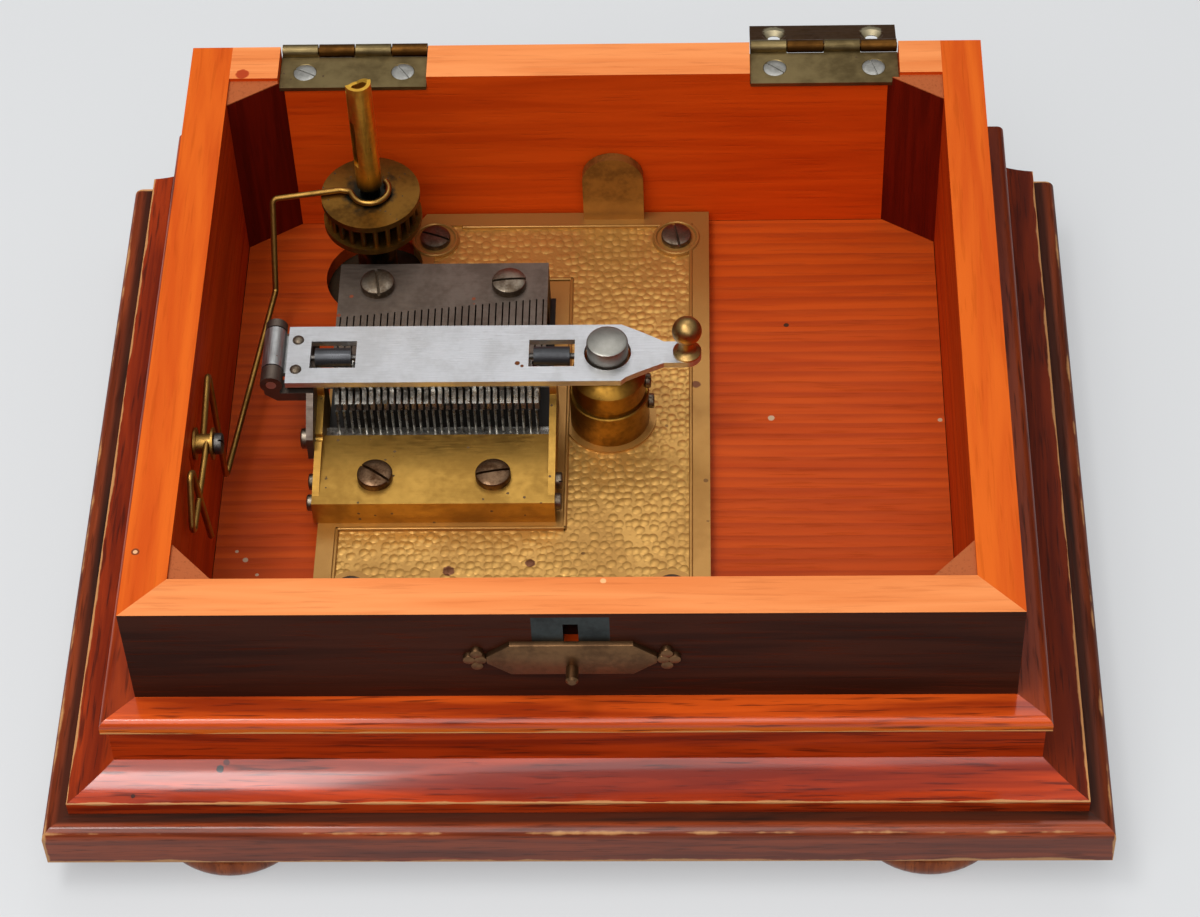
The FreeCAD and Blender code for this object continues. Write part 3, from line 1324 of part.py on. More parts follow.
def build_train(z, train, fly, floor):
    arbor, clear = S.motor_arbor_radius, S.layer_clear
    low = z["motor_floor"] - S.motor_plate_thick
    span = "2 * dims.motor_plate_thick + dims.motor_gap"
    wheel_z = z["motor_floor"] + clear
    half_tooth = 180.0 / S.train_pinion_teeth
    wheel = padded("train_wheel_disc", toothed(S.train_teeth, S.train_module, S.gear_backlash),
                   "dims.train_thick", (*train, wheel_z))
    pinion = padded("train_pinion", toothed(S.train_pinion_teeth, S.great_module, S.gear_backlash),
                    "dims.great_thick + dims.train_thick + 2 * dims.layer_clear",
                    (*train, wheel_z), Rotation(Vector(0, 0, 1), 180 + half_tooth))
    shaft = rod("train_arbor", "dims.motor_arbor_radius", span, (*train, low))
    node("train_wheel", fused("train_form", wheel, pinion, shaft))
    bearing = math.degrees(math.atan2(fly[1] - train[1], fly[0] - train[0]))
    tooth = 360.0 / S.train_teeth
    phase = (bearing / tooth - math.floor(bearing / tooth)) * 360.0 / S.fly_pinion_teeth
    fly_pinion = padded("fly_pinion", toothed(S.fly_pinion_teeth, S.train_module, S.gear_backlash),
                        "dims.train_thick + dims.layer_clear", (*fly, wheel_z),
                        Rotation(Vector(0, 0, 1), bearing + 180 + 180.0 / S.fly_pinion_teeth + phase))
    vane = block("fly_vane", "2 * dims.fly_reach", "dims.fly_thick", "dims.fly_height",
                 (fly[0] - S.fly_reach, fly[1] - S.fly_thick / 2, floor + S.great_thick))
    fly_shaft = rod("fly_arbor", "dims.motor_arbor_radius", span, (*fly, low))
    node("governor_fly", fused("fly_form", fly_pinion, vane, fly_shaft))


def click_pivot():
    reach = S.ratchet_radius + S.click_length
    return drive_x - reach * 0.6, drive_y - reach * 0.8


def build_ratchet(z, floor):
    base = z["motor_floor"] + S.layer_clear
    count, wide, root = int(S.ratchet_teeth), S.ratchet_radius, S.ratchet_radius - S.ratchet_depth
    points = []
    for index in range(count):
        angle = 2 * math.pi * index / count
        points += [(wide * math.cos(angle), wide * math.sin(angle)),
                   (root * math.cos(angle), root * math.sin(angle))]
    wheel = padded("ratchet_form", outline(points[0], *points[1:]) + circle(0, 0, S.arbor_radius),
                   "dims.ratchet_thick", (drive_x, drive_y, base))
    node("ratchet_wheel", wheel)
    x, y = click_pivot()
    nose = S.ratchet_radius + S.click_clear
    span = math.hypot(x - drive_x, y - drive_y)
    toward = math.degrees(math.atan2(drive_y - y, drive_x - x))
    reach = span - nose
    shape = outline((-3, -2), (reach - 1.5, -1.6), (reach, 0.2), (reach - 1.2, 1.6), (-3, 2))
    click = padded("click_form", shape, "dims.ratchet_thick", (x, y, base),
                   Rotation(Vector(0, 0, 1), toward))
    stud = rod("click_stud", "dims.motor_arbor_radius",
               "dims.ratchet_thick + dims.layer_clear + dims.motor_plate_thick",
               (x, y, z["motor_floor"] - S.motor_plate_thick))
    node("click", fused("click_with_stud", click, stud))


def build_all():
    catch_cuts = build_catch()
    hinge_pilots, hinge_mortises = build_hinges()
    wire_cuts = build_wire()
    plate_drillings = build_bedplate()
    pillar_pilots = build_motor()
    build_walls(catch_cuts, hinge_pilots + hinge_mortises, wire_cuts)
    build_base(pillar_pilots)
    build_floor(plate_drillings + pillar_pilots)
    build_feet()
    build_mouldings()
    build_corner_blocks(hinge_mortises)
    build_comb()
    build_gantry(bracket_hole("cheek_bracket_hole"))
    build_post()
    build_bar()
    build_sprocket()
    build_tube()


def check_and_write():
    doc.recompute()
    for item in doc.Objects:
        if "Invalid" in item.State or "Error" in item.State:
            raise RuntimeError(f"{item.Label} failed: {item.State}")
    os.makedirs("parts", exist_ok=True)
    for item in NODES:
        if item.Shape.isNull() or not item.Shape.isValid():
            raise RuntimeError(f"{item.Label} has no valid shape")
        item.Shape.exportStep(f"parts/{item.Label}.step")


build_all()
check_and_write()
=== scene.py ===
import logging
import math
from dataclasses import dataclass
from enum import Enum
from functools import reduce

import bmesh
import bpy
from mathutils import Matrix, Vector


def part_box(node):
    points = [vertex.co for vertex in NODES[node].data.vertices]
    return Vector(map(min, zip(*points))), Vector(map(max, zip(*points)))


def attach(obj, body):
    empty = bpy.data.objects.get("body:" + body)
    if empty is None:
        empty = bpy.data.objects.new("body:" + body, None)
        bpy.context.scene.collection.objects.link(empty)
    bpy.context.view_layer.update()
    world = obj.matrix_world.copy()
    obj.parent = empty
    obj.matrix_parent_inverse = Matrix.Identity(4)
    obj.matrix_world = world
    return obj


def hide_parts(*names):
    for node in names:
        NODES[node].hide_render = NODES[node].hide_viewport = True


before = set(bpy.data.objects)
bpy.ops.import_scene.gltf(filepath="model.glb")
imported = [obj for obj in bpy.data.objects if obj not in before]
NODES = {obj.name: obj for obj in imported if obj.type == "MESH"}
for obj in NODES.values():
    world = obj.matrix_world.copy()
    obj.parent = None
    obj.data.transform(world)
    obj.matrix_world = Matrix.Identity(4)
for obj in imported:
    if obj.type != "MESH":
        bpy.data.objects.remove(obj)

log = logging.getLogger("music_box")
MM = 0.001
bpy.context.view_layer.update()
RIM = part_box("front_wall")[1].z
WALL_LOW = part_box("left_wall")[0]
WALL_HIGH = Vector((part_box("right_wall")[1].x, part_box("left_wall")[1].y, RIM))
CAP_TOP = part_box("cap_moulding")[1].z
PLATE_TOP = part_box("centre_post")[0].z
SPROCKET_LOW, SPROCKET_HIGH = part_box("sprocket_bars")
DRIVE = (SPROCKET_LOW + SPROCKET_HIGH) / 2

Colour = tuple[float, float, float]
Triple = tuple[float, float, float]
Socket = bpy.types.NodeSocket

# The first colour is painted shade for the side runs of the mouldings; the second is dust.
SIDE_SHADE, LINT = (0.022, 0.008, 0.004), (0.55, 0.42, 0.3)
# The first colour is old oil; the second is old oil with painted shade, for under the star wheels.
GREASE, OIL_AND_SHADE = (0.018, 0.019, 0.014), (0.012, 0.009, 0.006)
SKIN = 0.05 * MM
BRUSH_SCALE = 2600.0
SMOOTH_BELOW = math.radians(32)


class Tree:
    """Lays out one node tree, feeding sockets with values or with other sockets."""

    def __init__(self, tree: bpy.types.NodeTree) -> None:
        """Keep the tree that is laid out."""
        self.tree = tree

    def feed(self, socket: Socket, value: object) -> None:
        """Link or set one input.

        Args:
            socket: The input to feed.
            value: A socket to link, a number, a colour or a vector.
        """
        if isinstance(value, bpy.types.NodeSocket):
            self.tree.links.new(value, socket)
        elif socket.type == "RGBA" and len(value) == 3:
            socket.default_value = (*value, 1.0)
        else:
            socket.default_value = value

    def add(self, kind: str, inputs: dict | None = None, **settings: object) -> bpy.types.Node:
        """Add a node.

        Args:
            kind: Blender's name for the node.
            inputs: Input name or index to value.
            settings: The node's own properties.

        Returns:
            The new node.
        """
        node = self.tree.nodes.new(kind)
        for name, value in settings.items():
            setattr(node, name, value)
        self.feed_all(node, inputs or {})
        return node

    def feed_all(self, node: bpy.types.Node, inputs: dict) -> None:
        """Feed several inputs of a node, by name or index."""
        for name, value in inputs.items():
            self.feed(node.inputs[name], value)

    def math(self, operation: str, *values: object, clamp: bool = False) -> Socket:
        """One sum on numbers.

        Args:
            operation: Blender's name for it.
            values: Numbers or sockets.
            clamp: Keep the result between 0 and 1.

        Returns:
            The result.
        """
        node = self.add("ShaderNodeMath", dict(enumerate(values)), operation=operation, use_clamp=clamp)
        return node.outputs[0]

    def vector(self, operation: str, *values: object) -> Socket:
        """One sum on vectors; returns the vector result."""
        return self.add("ShaderNodeVectorMath", dict(enumerate(values)), operation=operation).outputs[0]

    def mix(self, share: object, first: object, second: object, blend: str = "MIX") -> Socket:
        """Blend two colours.

        Args:
            share: How much of the second shows.
            first: Colour or socket.
            second: Colour or socket.
            blend: Blender's name for the blend.

        Returns:
            The blended colour.
        """
        node = self.add("ShaderNodeMix", {0: share, 6: first, 7: second}, data_type="RGBA", blend_type=blend)
        return node.outputs[2]

    def step(self, value: object, low: float, high: float, start: float = 0.0, end: float = 1.0) -> Socket:
        """Smooth change from start to end as value goes from low to high."""
        node = self.add("ShaderNodeMapRange", {0: value, 1: low, 2: high, 3: start, 4: end},
                        interpolation_type="SMOOTHSTEP")
        return node.outputs[0]

    def noise(self, vector: object, scale: object, detail: float = 3.0, distortion: float = 0.0) -> Socket:
        """Cloudy value over a vector."""
        node = self.add("ShaderNodeTexNoise", {"Vector": vector, "Scale": scale, "Detail": detail,
                                               "Distortion": distortion})
        return node.outputs[0]

    def xyz(self, vector: object) -> list[Socket]:
        """The three parts of a vector."""
        return list(self.add("ShaderNodeSeparateXYZ", {0: vector}).outputs)

    def place(self) -> Socket:
        """Where a point is on its piece."""
        return self.add("ShaderNodeTexCoord").outputs["Object"]

    def effect(self, name: str, **inputs: object) -> bpy.types.Node:
        """Put a shared effect into this tree.

        Args:
            name: The effect's name.
            inputs: Its inputs, words joined by underscores.

        Returns:
            The group node.
        """
        node = self.add("ShaderNodeGroup")
        node.node_tree = EFFECTS[name]
        for key, value in inputs.items():
            self.feed(node.inputs[key.replace("_", " ").title()], value)
        return node


def new_effect(name: str, vectors: str, numbers: str, results: str) -> tuple[Tree, dict, dict]:
    """Start a shared effect.

    Args:
        name: The group's name.
        vectors: Names of its vector inputs, with blanks between them.
        numbers: Names of its number inputs.
        results: Names of its number outputs.

    Returns:
        Its tree, its inputs by name and the sockets its outputs are fed through.
    """
    group = bpy.data.node_groups.new(name, "ShaderNodeTree")
    for labels, way, kind in ((vectors, "INPUT", "NodeSocketVector"), (numbers, "INPUT", "NodeSocketFloat"),
                              (results, "OUTPUT", "NodeSocketFloat")):
        for label in labels.split():
            group.interface.new_socket(label, in_out=way, socket_type=kind)
    tree = Tree(group)
    source, sink = tree.add("NodeGroupInput"), tree.add("NodeGroupOutput")
    return tree, source.outputs, sink.inputs


def make_grain() -> bpy.types.NodeTree:
    """Figure, pores and height of sawn wood; the vector is already stretched along the grain."""
    tree, into, out = new_effect("wood_grain", "Vector", "Scale", "Figure Pores Height")
    figure = tree.noise(into["Vector"], into["Scale"], 4.0, 0.8)
    fine = tree.noise(into["Vector"], tree.math("MULTIPLY", into["Scale"], 5.5), 2.0)
    pores = tree.step(fine, 0.53, 0.72)
    tree.feed(out["Figure"], tree.step(figure, 0.3, 0.7))
    tree.feed(out["Pores"], pores)
    tree.feed(out["Height"], tree.math("SUBTRACT", figure, pores))
    return tree.tree


def make_arris() -> bpy.types.NodeTree:
    """Worn edges of a board, by how near a point is to two faces of its box."""
    tree, into, out = new_effect("arris_wear", "Vector Low High", "Width", "Mask")
    below = tree.vector("ABSOLUTE", tree.vector("SUBTRACT", into["Vector"], into["Low"]))
    above = tree.vector("ABSOLUTE", tree.vector("SUBTRACT", into["High"], into["Vector"]))
    x, y, z = tree.xyz(tree.vector("MINIMUM", below, above))
    middle = tree.math("MAXIMUM", tree.math("MINIMUM", x, y),
                       tree.math("MINIMUM", tree.math("MAXIMUM", x, y), z))
    tree.feed(out["Mask"], ragged(tree, into["Vector"], middle, into["Width"]))
    return tree.tree


def make_moulding_arris() -> bpy.types.NodeTree:
    """Line along a mitred moulding, at one distance out from the walls and one height: worn, and whole."""
    tree, into, out = new_effect("moulding_wear", "Vector", "Out Up Width", "Mask Band")
    x, y, z = tree.xyz(into["Vector"])
    sideways = tree.math("SUBTRACT", tree.math("ABSOLUTE", x), WALL_HIGH.x)
    reach = tree.math("MAXIMUM", sideways, tree.math("SUBTRACT", WALL_LOW.y, y))
    along = tree.math("ABSOLUTE", tree.math("SUBTRACT", reach, into["Out"]))
    up = tree.math("ABSOLUTE", tree.math("SUBTRACT", z, into["Up"]))
    distance = tree.math("MAXIMUM", along, up)
    tree.feed(out["Mask"], ragged(tree, into["Vector"], distance, into["Width"]))
    tree.feed(out["Band"], tree.step(tree.math("DIVIDE", distance, into["Width"]), 0.5, 1.0, 1.0, 0.0))
    return tree.tree


def ragged(tree: Tree, vector: Socket, distance: Socket, width: Socket) -> Socket:
    """Mask that fades with distance, broken up as wear is."""
    patchy = tree.math("MULTIPLY_ADD", tree.noise(vector, 75.0, 5.0), 3.2, -0.95)
    ratio = tree.math("DIVIDE", distance, tree.math("MULTIPLY", width, tree.math("MAXIMUM", patchy, 0.02)))
    return tree.step(ratio, 0.5, 1.0, 1.0, 0.0)


def make_blotches() -> bpy.types.NodeTree:
    """Tarnish and handling marks in soft patches with fine mottling."""
    tree, into, out = new_effect("blotches", "Vector", "Scale", "Mask")
    broad = tree.noise(into["Vector"], into["Scale"], 3.0, 0.4)
    fine = tree.noise(into["Vector"], tree.math("MULTIPLY", into["Scale"], 7.0), 3.0)
    tree.feed(out["Mask"], tree.step(tree.math("MULTIPLY_ADD", fine, 0.45, broad), 0.52, 0.95))
    return tree.tree


def make_specks() -> bpy.types.NodeTree:
    """Scattered flecks, such as dust or rust."""
    tree, into, out = new_effect("specks", "Vector", "Scale Share Size", "Mask")
    wobble = tree.noise(into["Vector"], tree.math("MULTIPLY", into["Scale"], 2.3), 2.0)
    cells = tree.add("ShaderNodeTexVoronoi", {"Vector": into["Vector"], "Scale": into["Scale"]})
    chosen = tree.math("LESS_THAN", tree.xyz(cells.outputs["Color"])[0], into["Share"])
    reach = tree.math("MULTIPLY_ADD", wobble, 0.25, cells.outputs["Distance"])
    near = tree.math("LESS_THAN", reach, into["Size"])
    tree.feed(out["Mask"], tree.math("MULTIPLY", chosen, near))
    return tree.tree


def make_spot() -> bpy.types.NodeTree:
    """One small round mark, its rim a little uneven."""
    tree, into, out = new_effect("spot", "Vector Centre", "Radius", "Mask")
    away = tree.add("ShaderNodeVectorMath", {0: into["Vector"], 1: into["Centre"]}, operation="DISTANCE")
    uneven = tree.math("MULTIPLY_ADD", tree.noise(into["Vector"], 900.0, 2.0), 0.5, 0.75)
    ratio = tree.math("DIVIDE", away.outputs["Value"], tree.math("MULTIPLY", into["Radius"], uneven))
    tree.feed(out["Mask"], tree.step(ratio, 0.75, 1.0, 1.0, 0.0))
    return tree.tree


def make_brushing() -> bpy.types.NodeTree:
    """Fine parallel lines of brushed or drawn metal; the vector is already stretched along them."""
    tree, into, out = new_effect("brushing", "Vector", "Scale", "Lines")
    lines = tree.noise(into["Vector"], into["Scale"], 4.0)
    tree.feed(out["Lines"], tree.step(lines, 0.25, 0.75))
    return tree.tree


EFFECTS: dict[str, bpy.types.NodeTree] = {
    "grain": make_grain(), "arris": make_arris(), "moulding": make_moulding_arris(),
    "blotches": make_blotches(), "specks": make_specks(), "brushing": make_brushing(), "spot": make_spot(),
}


class Run(Enum):
    """Which way grain or brushing runs, as the squeeze of a pattern along each axis."""

    ALONG_X = (0.06, 1.0, 1.0)
    ALONG_Y = (1.0, 0.06, 1.0)
    ALONG_Z = (1.0, 1.0, 0.06)
    EVEN = (1.0, 1.0, 1.0)


@dataclass(frozen=True)
class Mark:
    """A small stain, chip or hole in a finish."""

    centre: Triple
    radius: float
    colour: Colour


@dataclass(frozen=True)
class Finish:
    """A finish that is made into a material once."""

    name: str
    marks: tuple[Mark, ...] = ()

    def material(self) -> bpy.types.Material:
        """The finish's material, made the first time it is asked for."""
        found = bpy.data.materials.get("finish_" + self.name)
        return found if found is not None else self.make()

    def start(self) -> tuple[bpy.types.Material, Tree, bpy.types.Node]:
        """A new material with its shader.

        Returns:
            The material, its tree and its principled shader.
        """
        material = bpy.data.materials.new("finish_" + self.name)
        material.use_nodes = True
        material.node_tree.nodes.clear()
        tree = Tree(material.node_tree)
        shader = tree.add("ShaderNodeBsdfPrincipled")
        sheet = tree.add("ShaderNodeOutputMaterial")
        tree.feed(sheet.inputs["Surface"], shader.outputs[0])
        return material, tree, shader

    def marked(self, tree: Tree, vector: Socket, colour: Socket) -> Socket:
        """Colour with the finish's marks on it.

        Args:
            tree: The material's tree.
            vector: Place on the piece.
            colour: Colour without marks.

        Returns:
            The marked colour.
        """
        for stain in self.marks:
            spot = tree.effect("spot", vector=vector, centre=stain.centre, radius=stain.radius).outputs[0]
            colour = tree.mix(spot, colour, stain.colour)
        return colour

    def make(self) -> bpy.types.Material:
        """Build the material."""
        raise NotImplementedError


@dataclass(frozen=True)
class WoodFinish(Finish):
    """Stained and varnished wood with grain, pores, worn edges and a little dust, and painted shade on the
    side runs where set.
    """

    light: Colour = (0.2, 0.05, 0.02)
    dark: Colour = (0.1, 0.02, 0.01)
    run: Run = Run.ALONG_X
    scale: float = 260.0
    pores: float = 0.5
    roughness: float = 0.35
    coat: float = 0.3
    specular: float = 0.25
    worn: Colour = (0.47, 0.16, 0.045)
    low: Triple | None = None
    high: Triple | None = None
    edge: float = 0.0011
    lines: tuple[tuple[float, float], ...] = ()
    band: tuple[float, float] | None = None
    band_colour: Colour = (0.5, 0.13, 0.02)
    band_width: float = 0.0016
    top: float | None = None
    top_colour: Colour = (0.4, 0.1, 0.03)
    dust: float = 0.0
    # Painted shade on the side runs: its share at the left end and at the right end.
    side_shade: tuple[float, float] | None = None
    mitred: bool = False

    def along(self, tree: Tree, vector: Socket) -> Socket:
        """Place on the piece, squeezed along the grain; mitred side runs have it from front to back."""
        if not self.mitred:
            return tree.vector("MULTIPLY", vector, self.run.value)
        beside = self.beside(tree, vector)
        front, side = Run.ALONG_X.value, Run.ALONG_Y.value
        parts = {axis: tree.step(beside, 0.0, 1.0, front[axis], side[axis]) for axis in range(3)}
        return tree.vector("MULTIPLY", vector, tree.add("ShaderNodeCombineXYZ", parts).outputs[0])

    def colour(self, tree: Tree, vector: Socket, grain: bpy.types.Node) -> Socket:
        """Colour before wear.

        Args:
            tree: The material's tree.
            vector: Place on the piece.
            grain: The grain effect.

        Returns:
            The colour.
        """
        colour = tree.mix(grain.outputs["Figure"], self.dark, self.light)
        # On the base the band is a painted shadow under the plinth lip; on the cap it is the orange front
        # edge.
        if self.band is not None:
            shade = tree.math("MULTIPLY_ADD", grain.outputs["Figure"], 0.4, 0.6)
            shown = tree.math("MULTIPLY", self.banded(tree, vector), shade)
            colour = tree.mix(shown, colour, self.band_colour)
        if self.top is not None:
            above = tree.math("GREATER_THAN", tree.xyz(vector)[2], self.top)
            colour = tree.mix(above, colour, self.top_colour)
        return colour

    def banded(self, tree: Tree, vector: Socket) -> Socket:
        """Where the finish's band runs."""
        return tree.effect("moulding", vector=vector, out=self.band[0], up=self.band[1],
                           width=self.band_width).outputs["Band"]

    def beside(self, tree: Tree, vector: Socket) -> Socket:
        """One on the runs along the left and right walls, nothing on the front run."""
        x, y, _ = tree.xyz(vector)
        sideways = tree.math("SUBTRACT", tree.math("ABSOLUTE", x), WALL_HIGH.x)
        return tree.math("GREATER_THAN", sideways, tree.math("SUBTRACT", WALL_LOW.y, y))

    def wear(self, tree: Tree, vector: Socket) -> Socket | None:
        """Where the varnish is worn off; None if nowhere."""
        masks = []
        if self.low is not None:
            masks.append(tree.effect("arris", vector=vector, low=self.low, high=self.high,
                                     width=self.edge).outputs[0])
        for out, up in self.lines:
            masks.append(tree.effect("moulding", vector=vector, out=out, up=up, width=self.edge).outputs[0])
        return reduce(lambda one, other: tree.math("MAXIMUM", one, other), masks) if masks else None

    def make(self) -> bpy.types.Material:
        """Grain, then pores, then wear, under a thin coat of varnish."""
        material, tree, shader = self.start()
        vector = tree.place()
        grain = tree.effect("grain", vector=self.along(tree, vector), scale=self.scale)
        colour = self.colour(tree, vector, grain)
        pores = tree.math("MULTIPLY", grain.outputs["Pores"], self.pores)
        colour = tree.mix(pores, colour, tuple(0.35 * part for part in self.dark))
        rough = tree.step(grain.outputs["Pores"], 0.0, 1.0, self.roughness, self.roughness + 0.16)
        coat: Socket | float = self.coat
        # Painted shade: the side runs are darkened and their coat dulled, the right run more than the left,
        # away from the light.
        if self.side_shade is not None:
            beside = self.beside(tree, vector)
            share = tree.step(tree.xyz(vector)[0], -0.05, 0.05, *self.side_shade)
            colour = tree.mix(tree.math("MULTIPLY", beside, share), colour, SIDE_SHADE)
            coat = tree.math("MULTIPLY_ADD", beside, -0.9 * self.coat, self.coat)
        # The band also takes off the coat, so the base's painted shadow has no gloss.
        if self.band is not None:
            coat = tree.math("MULTIPLY", coat, tree.step(self.banded(tree, vector), 0.0, 1.0, 1.0, 0.15))
        mask = self.wear(tree, vector)
        if mask is not None:
            colour = tree.mix(mask, colour, self.worn)
            rough = tree.math("MULTIPLY_ADD", mask, 0.2, rough)
        if self.dust:
            flecks = tree.effect("specks", vector=vector, scale=120.0, share=self.dust, size=0.16)
            colour = tree.mix(flecks.outputs[0], colour, LINT)
        colour = self.marked(tree, vector, colour)
        bump = tree.add("ShaderNodeBump", {"Height": grain.outputs["Height"], "Strength": 0.16,
                                           "Distance": 0.0004})
        tree.feed_all(shader, {"Base Color": colour, "Roughness": rough, "Coat Weight": coat,
                               "Coat Roughness": 0.12, "Specular IOR Level": self.specular,
                               "Normal": bump.outputs[0]})
        return material


@dataclass(frozen=True)
class WallFinish(WoodFinish):
    """Case wall: bare orange rim, red stained inside and dark polished outside."""

    rim_light: Colour = (0.86, 0.29, 0.09)
    rim_dark: Colour = (0.74, 0.21, 0.055)
    out_light: Colour = (0.06, 0.014, 0.006)
    out_dark: Colour = (0.026, 0.006, 0.0025)

    def colour(self, tree: Tree, vector: Socket, grain: bpy.types.Node) -> Socket:
        """Inside, outside and rim in their own stains."""
        x, y, z = tree.xyz(vector)
        figure = grain.outputs["Figure"]
        inside = tree.mix(figure, self.dark, self.light)
        outside = tree.mix(figure, self.out_dark, self.out_light)
        rim = tree.mix(figure, self.rim_dark, self.rim_light)
        sideways = tree.math("SUBTRACT", tree.math("ABSOLUTE", x), WALL_HIGH.x)
        ahead = tree.math("MAXIMUM", tree.math("SUBTRACT", WALL_LOW.y, y),
                          tree.math("SUBTRACT", y, WALL_HIGH.y))
        outer = tree.math("GREATER_THAN", tree.math("MAXIMUM", sideways, ahead), -SKIN)
        on_rim = tree.math("GREATER_THAN", z, RIM - SKIN)
        return tree.mix(on_rim, tree.mix(outer, inside, outside), rim)


@dataclass(frozen=True)
class FloorFinish(WoodFinish):
    """Stained softwood floor with hard and soft rings along its length."""

    ring: float = 0.0042
    ring_colour: Colour = (0.22, 0.024, 0.005)

    def colour(self, tree: Tree, vector: Socket, grain: bpy.types.Node) -> Socket:
        """Rings a few millimetres apart, wavering along the board."""
        y = tree.xyz(vector)[1]
        waver = tree.noise(tree.vector("MULTIPLY", vector, (0.12, 1.0, 1.0)), 26.0, 2.0)
        across = tree.math("MULTIPLY_ADD", waver, 0.009, y)
        ring = tree.math("FRACT", tree.math("DIVIDE", across, self.ring))
        late = tree.math("MULTIPLY", tree.step(ring, 0.25, 0.9), tree.step(ring, 0.92, 1.0, 1.0, 0.0))
        base = tree.mix(grain.outputs["Figure"], self.dark, self.light)
        return tree.mix(tree.math("MULTIPLY", late, 0.36), base, self.ring_colour)


@dataclass(frozen=True)
class MetalFinish(Finish):
    """Old metal: clean colour, tarnish in patches, brushing and flecks of rust or dirt."""

    clean: Colour = (0.5, 0.4, 0.2)
    dull: Colour = (0.2, 0.14, 0.06)
    share: float = 0.6
    metallic: float = 1.0
    roughness: float = 0.28
    dull_roughness: float = 0.5
    patch: float = 90.0
    run: Run = Run.EVEN
    brushing: float = 0.0
    fleck: Colour = (0.16, 0.05, 0.02)
    flecks: float = 0.0
    fleck_scale: float = 420.0
    grease: float = 0.0

    def tarnish(self, tree: Tree, vector: Socket) -> tuple[Socket, Socket]:
        """Colour and roughness of the metal with its tarnish."""
        blotches = tree.effect("blotches", vector=vector, scale=self.patch).outputs[0]
        patches = tree.math("MULTIPLY", blotches, self.share)
        return (tree.mix(patches, self.clean, self.dull),
                tree.step(patches, 0.0, 1.0, self.roughness, self.dull_roughness))

    def make(self) -> bpy.types.Material:
        """Tarnish over the clean metal, then brushing, flecks and grease."""
        material, tree, shader = self.start()
        vector = tree.place()
        colour, rough = self.tarnish(tree, vector)
        metallic: object = self.metallic
        stretched = tree.vector("MULTIPLY", vector, self.run.value)
        lines = tree.effect("brushing", vector=stretched, scale=BRUSH_SCALE).outputs[0]
        rough = tree.math("MULTIPLY_ADD", lines, 0.12 + 0.14 * self.brushing, rough)
        if self.brushing:
            shade = tree.mix(lines, (0.82, 0.82, 0.82), (1.0, 1.0, 1.0))
            colour = tree.mix(self.brushing, colour, tree.mix(1.0, colour, shade, "MULTIPLY"))
        if self.flecks:
            mask = tree.effect("specks", vector=vector, scale=self.fleck_scale, share=self.flecks,
                               size=0.3).outputs[0]
            colour = tree.mix(mask, colour, self.fleck)
            rough = tree.math("MULTIPLY_ADD", mask, 0.35, rough, clamp=True)
            metallic = tree.math("MULTIPLY_ADD", mask, -0.8 * self.metallic, self.metallic, clamp=True)
        if self.grease:
            colour = tree.mix(self.greasy(tree, vector), colour, GREASE)
        colour = self.marked(tree, vector, colour)
        bump = tree.add("ShaderNodeBump", {"Height": lines, "Strength": 0.05 + 0.1 * self.brushing,
                                           "Distance": 0.0001})
        tree.feed_all(shader, {"Base Color": colour, "Roughness": rough, "Metallic": metallic,
                               "Normal": bump.outputs[0]})
        return material

    def greasy(self, tree: Tree, vector: Socket) -> Socket:
        """Old oil round the winding tube's foot and between the sprocket's plates."""
        x, y, z = tree.xyz(vector)
        away = tree.add("ShaderNodeCombineXYZ", {0: tree.math("SUBTRACT", x, DRIVE.x),
                                                 1: tree.math("SUBTRACT", y, DRIVE.y)}).outputs[0]
        reach = tree.add("ShaderNodeVectorMath", {0: away}, operation="LENGTH").outputs["Value"]
        ragged_reach = tree.math("MULTIPLY_ADD", tree.noise(vector, 260.0, 4.0), 0.012, reach)
        high = tree.math("SUBTRACT", z, SPROCKET_HIGH.z)
        low = tree.step(high, 0.004, 0.011, 1.0, 0.0)
        return tree.math("MULTIPLY", tree.step(ragged_reach, 0.011, 0.0155, self.grease, 0.0), low)


